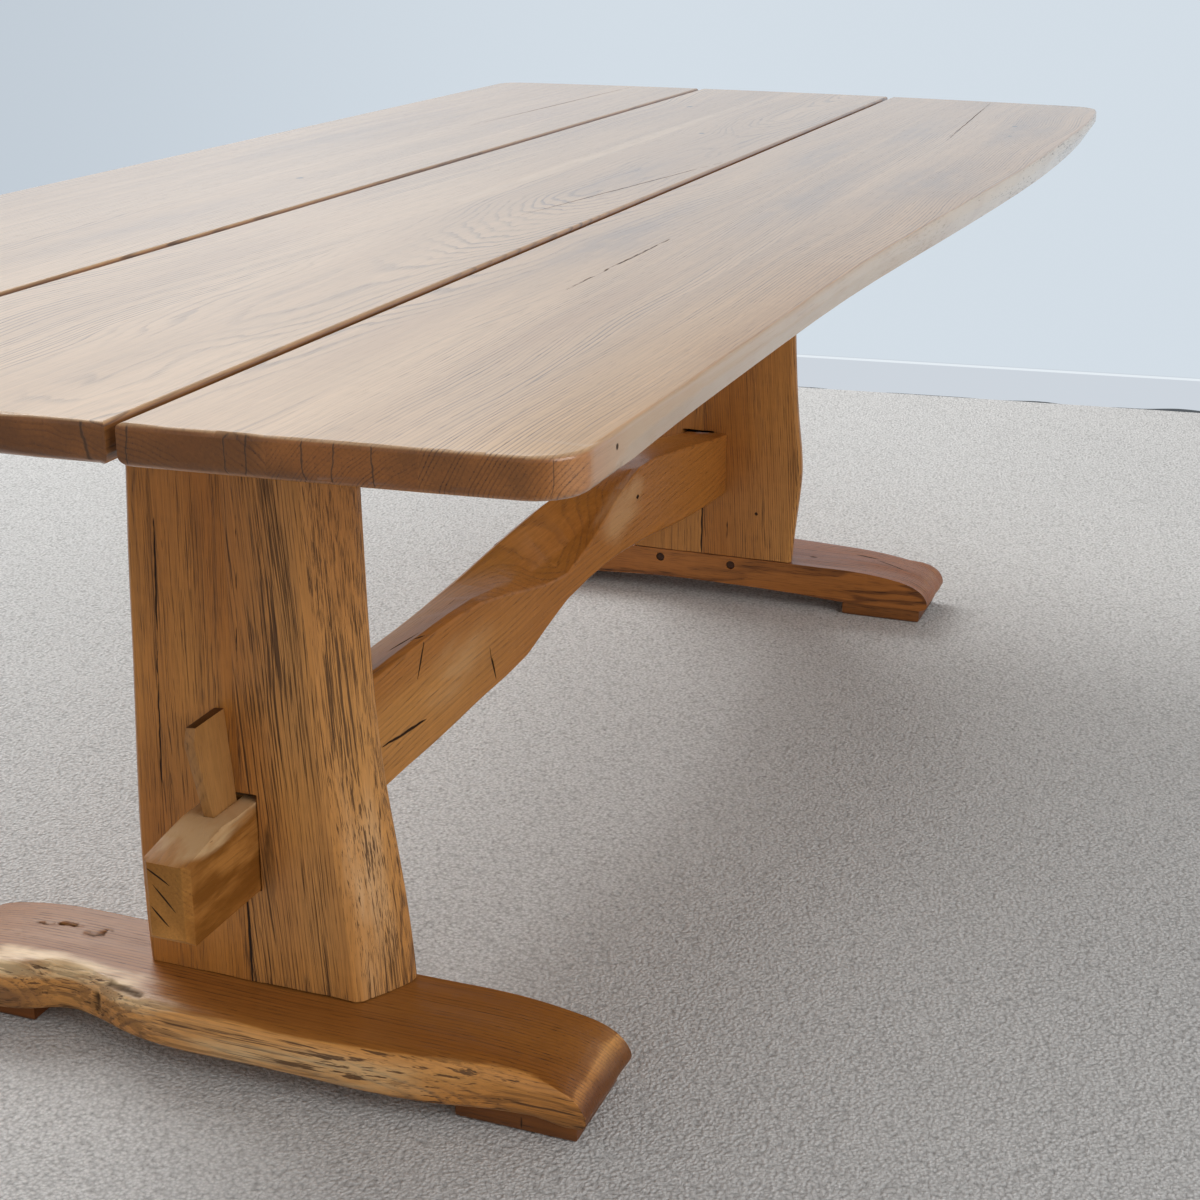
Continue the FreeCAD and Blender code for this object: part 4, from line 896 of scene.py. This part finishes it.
LEGS = {
    # the pith across and in depth, its tilt, wander, ring spacing, seed and ripple; layers of
    # weathered marks; the tone; how the grain slopes across and in depth
    "near_leg_left_half": ((0.06, -0.600, 0.02, 0.05, 0.0040, 11.0, 0.006),
                           [(0.50, 0.0009, 0.110, 1.0, 0.75), (0.38, 0.0016, 0.060, 2.0, 0.85)],
                           (1.08, 1.02, 0.90), (-0.015, 0.0)),
    "near_leg_right_half": ((-0.34, -0.69, -0.03, 0.05, 0.0036, 12.0, 0.006),
                            [(0.54, 0.0009, 0.110, 3.0, 0.8), (0.50, 0.0022, 0.120, 4.0, 0.85)],
                            (1.15, 1.18, 1.28), (0.060, -0.0054)),
    "far_leg_left_half": ((0.08, 0.600, 0.02, 0.05, 0.0040, 13.0, 0.006),
                          [(0.42, 0.0012, 0.060, 5.0, 0.8)], (0.95, 0.94, 0.95), (0.0, 0.0)),
    "far_leg_right_half": ((-0.30, 0.69, 0.03, 0.05, 0.0036, 14.0, 0.006),
                           [(0.44, 0.0012, 0.060, 6.0, 0.8)], (0.97, 0.96, 0.98), (0.06, 0.0)),
}
LEG_CRACKS = {
    "near_leg_left_half": [((NEAR_LEG_FACE, 0.0704, 0.5725), (NEAR_LEG_FACE, 0.0795, 0.40), 0.0014),
                           ((NEAR_LEG_FACE, 0.0795, 0.42), (NEAR_LEG_FACE, 0.0888, 0.218), 0.0013),
                           ((NEAR_LEG_FACE, 0.0, 0.060), (NEAR_LEG_FACE, 0.0, 0.190), 0.0018)],
    "near_leg_right_half": [((NEAR_LEG_FACE, 0.0, 0.060), (NEAR_LEG_FACE, 0.0, 0.190), 0.0018),
                            ((NEAR_LEG_FACE, -0.0145, 0.56), (NEAR_LEG_FACE, -0.0035, 0.38), 0.0012)],
    "far_leg_left_half": [((FAR_LEG_FACE, 0.0, 0.060), (FAR_LEG_FACE, 0.0, 0.185), 0.0020)],
    "far_leg_right_half": [((FAR_LEG_FACE, 0.0, 0.060), (FAR_LEG_FACE, 0.0, 0.185), 0.0020),
                           ((FAR_LEG_FACE, -0.0413, 0.150), (FAR_LEG_FACE, -0.0421, 0.100), 0.0020),
                           ((FAR_LEG_FACE, -0.086, 0.150), (FAR_LEG_FACE, -0.092, 0.149), 0.0035)],
}
LEG_STAINS_AND_SHADE = {
    "near_leg_right_half": [
        ((-0.725, -0.140, 0.36), (0.04, 0.045, 0.42), (0.78, 0.50, 0.27), 0.65, 0.5),
        # painted shade on the leg face beside the tenon's right side, where the mortise lies open in
        # shadow
        ((NEAR_LEG_FACE, -0.026, 0.205), (0.03, 0.009, 0.050), (0.05, 0.026, 0.012), 0.95, 0.5)],
}


class TABLE_OT_legs(bpy.types.Operator):
    """Shape and finish the two halves of each leg"""
    bl_idname = "table.legs"
    bl_label = "Legs"

    def execute(self, context):
        finish = context.scene.table_frame
        for node, (values, marks, tone, slope) in LEGS.items():
            material = oak_material(
                oak_name(node), finish, "Z", figure(*values), streaks=marks,
                patches=LEG_STAINS_AND_SHADE.get(node, ()), cracks=LEG_CRACKS.get(node, ()),
                contrast=1.3, tone=tone, wax=0.3, slope=slope)
            gridded_piece(node, f"worked_{node}", material, "Z",
                          {"Z": 0.012, "Y": 0.010}, 0.0016, 0.0012, [("Y", 0.0)])
        return {"FINISHED"}


# in metres: the foot's grid, where along it the rolled edge turns blunt and over what length,
# and how far the edge is rounded above and below
FOOT_GRID, BLUNT_FROM, BLUNT_OVER = 0.006, 0.315, 0.03
ROUND_ABOVE, ROUND_BELOW = 0.020, 0.012


def along_profile(across, values, pick):
    """The outermost of the values along a foot, as pick chooses it, smoothed, at every place.
    The places lie on the lines of the foot's grid."""
    bins = np.round((across - across.min()) / FOOT_GRID - 0.5).astype(int)
    found = np.unique(bins)
    outermost = np.array([pick(values[bins == index]) for index in found])
    smooth = np.convolve(np.pad(outermost, 2, mode="edge"), np.ones(5) / 5, mode="valid")
    return np.interp(across, across.min() + (found + 0.5) * FOOT_GRID, smooth)


def roll_foot_edge(places):
    """Round a foot along the tree's own edge, more at the top than below."""
    side = math.copysign(1.0, places[0, 0])
    out, across, up = places[:, 0] * side, places[:, 1], places[:, 2]
    edge = along_profile(across, out, np.max)
    blunt = 1.0 - 0.8 * np.clip((np.abs(across) - BLUNT_FROM) / BLUNT_OVER, 0.0, 1.0)
    for round_by, level, way in ((ROUND_ABOVE, along_profile(across, up, np.max), 1.0),
                                 (ROUND_BELOW, along_profile(across, up, np.min), -1.0)):
        radius = round_by * blunt
        x, z = out - (edge - radius), way * (up - level) + radius
        reach = np.maximum(np.hypot(x, z), 1e-9)
        rolled = (x > 0) & (z > 0) & (reach > radius)
        out = np.where(rolled, edge - radius + x * radius / reach, out)
        up = np.where(rolled, level + way * (z * radius / reach - radius), up)
    return np.stack([out * side, across, up], axis=1)


# honey-coloured wood, also used as a painted highlight along the upper edge of the near foot's front;
# SHADED is painted shade
HONEY_AND_HIGHLIGHT, SHADED = (0.92, 0.70, 0.40), (0.24, 0.11, 0.040)
FEET = {
    # the pith across and in depth, its tilt, wander, ring spacing, seed and ripple; the tone of the
    # faces and of the top, the darker top partly painted shade under the tabletop; the contrast of the
    # grain
    "near_foot": ((-0.90, 0.010, 0.03, 0.05, 0.0046, 21.0, 0.004),
                  (1.28, 1.32, 1.35), (0.49, 0.40, 0.30), 1.1),
    "far_foot": ((0.90, 0.020, -0.03, 0.05, 0.0054, 22.0, 0.012),
                 (0.72, 0.56, 0.44), (0.86, 0.78, 0.72), 2.0),
}
FOOT_TINTS_AND_PAINTED_LIGHT = {
    # painted shade low on the near foot's front, a band of honey wood brightened into a painted
    # highlight along its upper edge, and honey wood across the middle of the front
    "near_foot": [((-0.810, 0.26, 0.036), (0.05, 0.14, 0.022), SHADED, 0.9, 0.6),
                  ((-0.805, 0.20, 0.073), (0.045, 0.16, 0.019), HONEY_AND_HIGHLIGHT, 0.85, 0.4),
                  ((-0.822, -0.12, 0.045), (0.03, 0.26, 0.028), HONEY_AND_HIGHLIGHT, 0.5, 0.8)],
}
FOOT_CRACKS = {
    "far_foot": [((0.7214, -0.166, 0.0735), (0.7214, -0.178, 0.0735), 0.0025),
                 ((0.755, -0.235, 0.0730), (0.750, -0.272, 0.0715), 0.0022),
                 ((0.7441, -0.270, 0.0715), (0.7269, -0.319, 0.0654), 0.0018),
                 ((0.7269, -0.319, 0.0654), (0.738, -0.360, 0.0450), 0.0016)],
}
PAD_CRACK = ((-0.783, -0.300, 0.020), (-0.783, -0.300, 0.0), 0.0016)
FOOT_CHECKS = {
    "near_foot": [
        ([(-0.714, 0.275, FOOT_BED), (-0.711, 0.248, FOOT_BED), (-0.705, 0.220, FOOT_BED)],
         0.0035, 0.005),
        ([(-0.738, 0.285, FOOT_BED), (-0.736, 0.275, FOOT_BED)], 0.0045, 0.004),
        ([(-0.719, 0.208, FOOT_BED), (-0.718, 0.195, FOOT_BED), (-0.702, 0.188, FOOT_BED)],
         0.0035, 0.004),
        ([(-0.790, 0.134, 0.069), (-0.797, 0.107, 0.072), (-0.801, 0.092, 0.0715)], 0.0080, 0.0025),
        ([(-0.796, 0.144, 0.058), (-0.796, 0.148, 0.040)], 0.0085, 0.0020)],
}


class TABLE_OT_feet(bpy.types.Operator):
    """Shape and finish the two curved feet and the pads under them"""
    bl_idname = "table.feet"
    bl_label = "Feet and pads"

    def execute(self, context):
        finish = context.scene.table_frame
        for node, (values, tone, top_tone, contrast) in FEET.items():
            seed = values[5]
            material = oak_material(
                oak_name(node), finish, "Y", figure(*values), contrast=contrast,
                streaks=[(0.44, 0.0012, 0.10, seed, 0.8), (0.46, 0.0044, 0.17, seed + 3, 0.85),
                         (0.66, 0.0080, 0.16, seed + 7, 0.4)],
                cracks=FOOT_CRACKS.get(node, ()), patches=FOOT_TINTS_AND_PAINTED_LIGHT.get(node, ()),
                tone=tone, top_tone=top_tone, outward=1.0 if node == "far_foot" else -1.0)
            gridded_piece(node, f"worked_{node}", material, "Y",
                          {"X": 0.005, "Y": FOOT_GRID, "Z": 0.005}, 0.0015, 0.0015,
                          checks=FOOT_CHECKS.get(node, ()), shape=roll_foot_edge)
        pad = oak_material("Oak pads", finish, "Y", figure(0.0, -0.1, 0.0, 0.05, 0.004, 25.0),
                           streaks=[(0.45, 0.0012, 0.05, 27.0, 0.8)], cracks=[PAD_CRACK],
                           tone=(0.48, 0.40, 0.42), wax=0.3)
        for node in ("near_left_pad", "near_right_pad", "far_left_pad", "far_right_pad"):
            gridded_piece(node, f"worked_{node}", pad, "Y", {}, 0.0015, 0.0)
        return {"FINISHED"}


class TABLE_OT_bearers(bpy.types.Operator):
    """Finish the bearers under the top"""
    bl_idname = "table.bearers"
    bl_label = "Bearers"

    def execute(self, context):
        finish = context.scene.table_frame
        for node, seed in (("near_bearer", 31.0), ("far_bearer", 32.0)):
            dress_node(node, oak_material(oak_name(node), finish, "Y",
                                          figure(0.0, 0.4, 0.02, 0.05, 0.0040, seed)))
        return {"FINISHED"}


TENON_SIDE, TENON_TOP = (0.21, 0.078, 0.014), (0.60, 0.40, 0.21)
PALE_PATCH, DARK_PATCH = (0.60, 0.36, 0.17), (0.12, 0.055, 0.025)
TENON_FACETS = [
    # the long bevels of the near tenon: where each starts, its two ends at the tip
    ((-0.775, -0.016, 0.270), (TENON_TIP, -0.016, 0.253), (TENON_TIP, -0.007, 0.270)),
    ((-0.790, 0.034, 0.270), (TENON_TIP, 0.027, 0.270), (TENON_TIP, 0.034, 0.260)),
    ((-0.800, 0.030, 0.270), (-0.800, -0.010, 0.270), (TENON_TIP, 0.010, 0.258)),
]
STRETCHER_STAINS = [
    ((-0.80, -0.020, 0.215), (0.125, 0.020, 0.09), TENON_SIDE, 1.0, 0.4),
    ((-0.80, 0.009, 0.275), (0.125, 0.06, 0.025), TENON_TOP, 1.0, 0.4),
    ((-0.33, STRETCHER_SIDE, 0.26), (0.12, 0.02, 0.05), PALE_PATCH, 0.5, 0.9),
    ((0.20, -0.035, 0.29), (0.10, 0.02, 0.05), PALE_PATCH, 0.6, 0.6),
    ((-0.50, -0.02, 0.335), (0.10, 0.03, 0.03), DARK_PATCH, 0.6, 0.9),
]
STRETCHER_CRACKS_AND_SHADE = [
    ((-0.418, STRETCHER_SIDE, 0.321), (-0.438, STRETCHER_SIDE, 0.282), 0.0022),
    ((-0.248, STRETCHER_SIDE, 0.254), (-0.230, STRETCHER_SIDE, 0.203), 0.0028),
    ((-0.525, STRETCHER_SIDE, 0.239), (-0.412, STRETCHER_SIDE, 0.228), 0.0026),
    ((0.255, STRETCHER_SIDE, 0.289), (0.266, STRETCHER_SIDE, 0.288), 0.004),
    ((WORN_TIP, 0.028, 0.252), (WORN_TIP, 0.004, 0.238), 0.0013),
    ((WORN_TIP, 0.022, 0.236), (WORN_TIP, 0.000, 0.212), 0.0013),
    ((WORN_TIP, 0.026, 0.214), (WORN_TIP, 0.008, 0.196), 0.0013),
    # painted shade over the tenon's top inside the far leg's mortise, where the opening lies in shadow
    ((0.708, -0.08, 0.2694), (0.708, 0.08, 0.2694), 0.034),
    ((-0.455, -0.010, 0.3165), (-0.395, -0.024, 0.3190), 0.0022),
    ((-0.440, -0.022, 0.3190), (-0.405, -0.034, 0.3210), 0.0018),
    ((-0.430, -0.004, 0.3160), (-0.400, -0.010, 0.3165), 0.0015),
]


class TABLE_OT_stretcher(bpy.types.Operator):
    """Shape and finish the hand-shaped stretcher"""
    bl_idname = "table.stretcher"
    bl_label = "Stretcher"

    def execute(self, context):
        finish = context.scene.table_frame
        material = oak_material(
            "Oak stretcher", finish, "X", figure(0.25, 0.05, 0.02, 0.06, 0.0044, 41.0),
            contrast=0.6, streaks=[(0.26, 0.0014, 0.05, 43.0, 0.8)], tone=(1.0, 0.98, 0.95),
            top_tone=(0.95, 0.98, 0.96), wax=0.12, ends=0.0, shine=0.3,
            patches=STRETCHER_STAINS, cracks=STRETCHER_CRACKS_AND_SHADE)
        far = [[(-x, y, z) for x, y, z in (first, third, second)]
               for first, second, third in TENON_FACETS]
        gridded_piece("stretcher", "worked_stretcher", material, "X",
                      {"X": 0.012, "Z": 0.014}, 0.0014, 0.0014, facets=(*TENON_FACETS, *far))
        return {"FINISHED"}


class TABLE_OT_wedges(bpy.types.Operator):
    """Shape and finish the two wedges that lock the stretcher"""
    bl_idname = "table.wedges"
    bl_label = "Wedges"

    def execute(self, context):
        finish = context.scene.table_frame
        for node, seed in (("near_wedge", 51.0), ("far_wedge", 52.0)):
            material = oak_material(
                oak_name(node), finish, "Z", figure(-0.2, 0.0, 0.02, 0.02, 0.0030, seed),
                streaks=[(0.2, 0.0012, 0.03, seed, 0.8)], contrast=0.8, tone=(0.82, 0.90, 1.12),
                top_tone=(0.25, 0.2, 0.18), wax=0.3)
            gridded_piece(node, f"worked_{node}", material, "Z", {"Z": 0.012},
                          0.0016, 0.0005)
        return {"FINISHED"}


class TABLE_OT_fastenings(bpy.types.Operator):
    """Finish the oak pegs and the steel screws"""
    bl_idname = "table.fastenings"
    bl_label = "Pegs and screws"

    def execute(self, context):
        finish = context.scene.table_frame
        peg = oak_material("Oak pegs", finish, "X", figure(0.0, 0.0, 0.0, 0.02, 0.0015, 61.0),
                           tone=(0.16, 0.13, 0.16))
        for node in ("near_foot_pegs", "far_foot_pegs"):
            dress_node(node, peg)
        steel = steel_material()
        for node in ("near_bearer_screws", "far_bearer_screws"):
            dress_node(node, steel)
        return {"FINISHED"}


# ------------------------------------------------------------------ stage

SKIRTING = [
    # the heights of the skirting board's painted shadow line, its top edge with a painted highlight, and
    # its face, with their colours
    (0.077, (0.61, 0.67, 0.73)),
    (0.075, (0.80, 0.86, 0.91)),
    (0.070, (0.615, 0.665, 0.725)),
]
# metres and degrees
FLOOR_REACH, WALL_REACH, WALL_HEIGHT = 9.0, 8.0, 5.0
WALL_PLACE, WALL_WAY = Vector((2.127, 0.0, 0.0)), Vector((-0.0896, 0.996, 0.0))
CAMERA_PLACE, CAMERA_YAW, CAMERA_PITCH = (-2.2251, -0.9236, 1.0853), 20.73, 19.755
LIGHTS = [
    # the name, place and target of each soft light, its size, its power's setting and its colour
    ("Window light", (4.3, 4.8, 5.2), (0.0, 0.0, 0.4), (5.5, 4.2), "key_power", (1.0, 0.985, 0.96)),
    ("Fill light", (-1.8, -3.6, 2.2), (0.0, 0.0, 0.5), (2.5, 2.0), "fill_power", (1.0, 0.98, 0.95)),
]


def flat_sheet(name, corners, material):
    """A four-cornered sheet of the stage."""
    mesh = bpy.data.meshes.new(name)
    mesh.from_pydata(corners, [], [(0, 1, 2, 3)])
    mesh.materials.append(material)
    sheet = bpy.data.objects.new(name, mesh)
    bpy.context.scene.collection.objects.link(sheet)


def directly_seen(graph):
    """1 to the camera, in reflections and through clear things, and 0 to all other light."""
    path = graph.add("ShaderNodeLightPath").outputs
    seen = graph.plus(path["Is Camera Ray"], path["Is Glossy Ray"])
    return graph.plus(seen, path["Is Transmission Ray"], clamp=True)


def backdrop_material(studio):
    """A plain pale wall with a skirting board, clear from behind and to the light of the room."""
    material, graph = new_material("Backdrop")
    place = graph.split(graph.add("ShaderNodeTexCoord").outputs["Object"])
    share = graph.add("ShaderNodeMapRange", {"Value": place[1], "From Min": 2.6, "From Max": 0.4},
                      interpolation_type="SMOOTHSTEP").outputs[0]
    colour = graph.mix(share, rgba(studio.wall_dim), rgba(studio.wall))
    colour = graph.mix(graph.step(place[2], 1.1, 2.4), colour, rgba(studio.wall_high))
    for top, tone in SKIRTING:
        colour = graph.mix(graph.math("LESS_THAN", place[2], top), colour, rgba(tone))
    # painted shade along the foot of the wall, where the skirting meets the floor, with a ragged top
    floor_shade = graph.noise(graph.join(graph.times(place[1], 4.0), 0.0, 0.0), 1.0)
    floor_shade = graph.math("LESS_THAN", place[2], graph.times(graph.minus(floor_shade, 0.47), 0.03))
    colour = graph.mix(floor_shade, colour, (0.10, 0.11, 0.12, 1.0))
    clear = graph.add("ShaderNodeBsdfTransparent").outputs[0]
    glow = graph.add("ShaderNodeEmission", {"Color": colour, "Strength": 1.0}).outputs[0]
    shown = graph.add("ShaderNodeMixShader", {0: directly_seen(graph), 1: clear, 2: glow}).outputs[0]
    behind = graph.add("ShaderNodeNewGeometry").outputs["Backfacing"]
    graph.show(graph.add("ShaderNodeMixShader", {0: behind, 1: shown, 2: clear}).outputs[0])
    return material


def floor_material(studio):
    """A pale looped carpet."""
    material, graph = new_material("Carpet")
    place = graph.add("ShaderNodeTexCoord").outputs["Object"]
    loops = graph.add("ShaderNodeTexVoronoi", {"Vector": place, "Scale": 240.0}).outputs["Distance"]
    tufts = graph.noise(graph.stretch(place, (230.0, 230.0, 230.0)), 3.0, 0.7)
    cloud = graph.noise(graph.stretch(place, (2.0, 2.0, 2.0)), 2.0)
    height = graph.minus(graph.times(tufts, 1.6), loops)
    tint = graph.plus(graph.times(height, 0.55), 0.76)
    tint = graph.plus(tint, graph.times(graph.minus(cloud, 0.5), 0.06))
    bump = graph.add("ShaderNodeBump", {"Strength": 0.7, "Distance": 0.003, "Height": height})
    shader = graph.add("ShaderNodeBsdfPrincipled", {
        "Base Color": graph.shade(rgba(studio.floor), tint), "Roughness": 0.95,
        "Specular IOR Level": 0.1, "Normal": bump.outputs[0]})
    graph.show(shader.outputs[0])
    return material


def soft_light(name, place, target, size, power, colour):
    """A large soft light that faces the target."""
    data = bpy.data.lights.new(name, "AREA")
    data.shape = "RECTANGLE"
    data.size, data.size_y = size
    data.energy = power
    data.color = colour
    light = bpy.data.objects.new(name, data)
    light.location = place
    light.rotation_euler = (Vector(target) - Vector(place)).to_track_quat("-Z", "Y").to_euler()
    light.visible_camera = False
    bpy.context.scene.collection.objects.link(light)


class TABLE_OT_stage(bpy.types.Operator):
    """Set up the floor, the backdrop, the light and the camera"""
    bl_idname = "table.stage"
    bl_label = "Stage"

    def execute(self, context):
        studio = context.scene.table_studio
        context.scene.view_settings.view_transform = "Standard"
        ground = [(x * FLOOR_REACH, y * FLOOR_REACH, 0.0)
                  for x, y in ((-1, -1), (1, -1), (1, 1), (-1, 1))]
        flat_sheet("Floor", ground, floor_material(studio))
        left, right = [WALL_PLACE + WALL_WAY * way * WALL_REACH for way in (1, -1)]
        rise = Vector((0.0, 0.0, WALL_HEIGHT))
        flat_sheet("Backdrop", [left, right, right + rise, left + rise], backdrop_material(studio))
        for name, place, target, size, power, colour in LIGHTS:
            soft_light(name, place, target, size, getattr(studio, power), colour)
        self.light_room(context.scene, studio)
        self.add_camera(context.scene, studio)
        return {"FINISHED"}

    def light_room(self, scene, studio):
        world = bpy.data.worlds.new("Room")
        world.use_nodes = True
        world.node_tree.nodes.clear()
        graph = Graph(world.node_tree)
        room = graph.add("ShaderNodeBackground", {"Color": (1.0, 0.99, 0.975, 1.0),
                                                  "Strength": studio.ambient})
        shown = graph.add("ShaderNodeBackground", {"Color": rgba(studio.wall), "Strength": 1.0})
        both = graph.add("ShaderNodeMixShader", {
            0: directly_seen(graph), 1: room.outputs[0], 2: shown.outputs[0]})
        graph.show(both.outputs[0], "World")
        scene.world = world

    def add_camera(self, scene, studio):
        data = bpy.data.cameras.new("Camera")
        data.lens = studio.lens
        data.sensor_width = 36.0
        camera = bpy.data.objects.new("Camera", data)
        camera.location = CAMERA_PLACE
        yaw, pitch = math.radians(CAMERA_YAW), math.radians(CAMERA_PITCH)
        ahead = Vector((math.cos(pitch) * math.cos(yaw), math.cos(pitch) * math.sin(yaw),
                        -math.sin(pitch)))
        camera.rotation_euler = ahead.to_track_quat("-Z", "Y").to_euler()
        scene.collection.objects.link(camera)
        scene.camera = camera


PIECES = (TABLE_OT_top, TABLE_OT_bearers, TABLE_OT_legs, TABLE_OT_feet, TABLE_OT_stretcher,
          TABLE_OT_wedges, TABLE_OT_fastenings, TABLE_OT_stage)


class TABLE_PT_panel(bpy.types.Panel):
    """Lists the table's pieces and their finishes"""
    bl_idname = "TABLE_PT_panel"
    bl_label = "Trestle table"
    bl_space_type = "VIEW_3D"
    bl_region_type = "UI"
    bl_category = "Table"

    def draw(self, context):
        for group in (context.scene.table_top, context.scene.table_frame, context.scene.table_studio):
            box = self.layout.box()
            for key in group.bl_rna.properties.keys():
                if key not in ("rna_type", "name"):
                    box.prop(group, key)
        for piece in PIECES:
            self.layout.operator(piece.bl_idname)


SETTINGS = {"table_top": TopFinish, "table_frame": FrameFinish, "table_studio": StudioSettings}


def register():
    for group in SETTINGS.values():
        bpy.utils.register_class(group)
    for piece in (*PIECES, TABLE_PT_panel):
        bpy.utils.register_class(piece)
    for name, group in SETTINGS.items():
        setattr(bpy.types.Scene, name, PointerProperty(type=group))


def unregister():
    for name in SETTINGS:
        delattr(bpy.types.Scene, name)
    for piece in (TABLE_PT_panel, *reversed(PIECES), *SETTINGS.values()):
        bpy.utils.unregister_class(piece)


def main():
    register()
    for piece in PIECES:
        group, operator = piece.bl_idname.split(".")
        getattr(getattr(bpy.ops, group), operator)()
    bpy.context.view_layer.update()


if __name__ == "__main__":
    main()
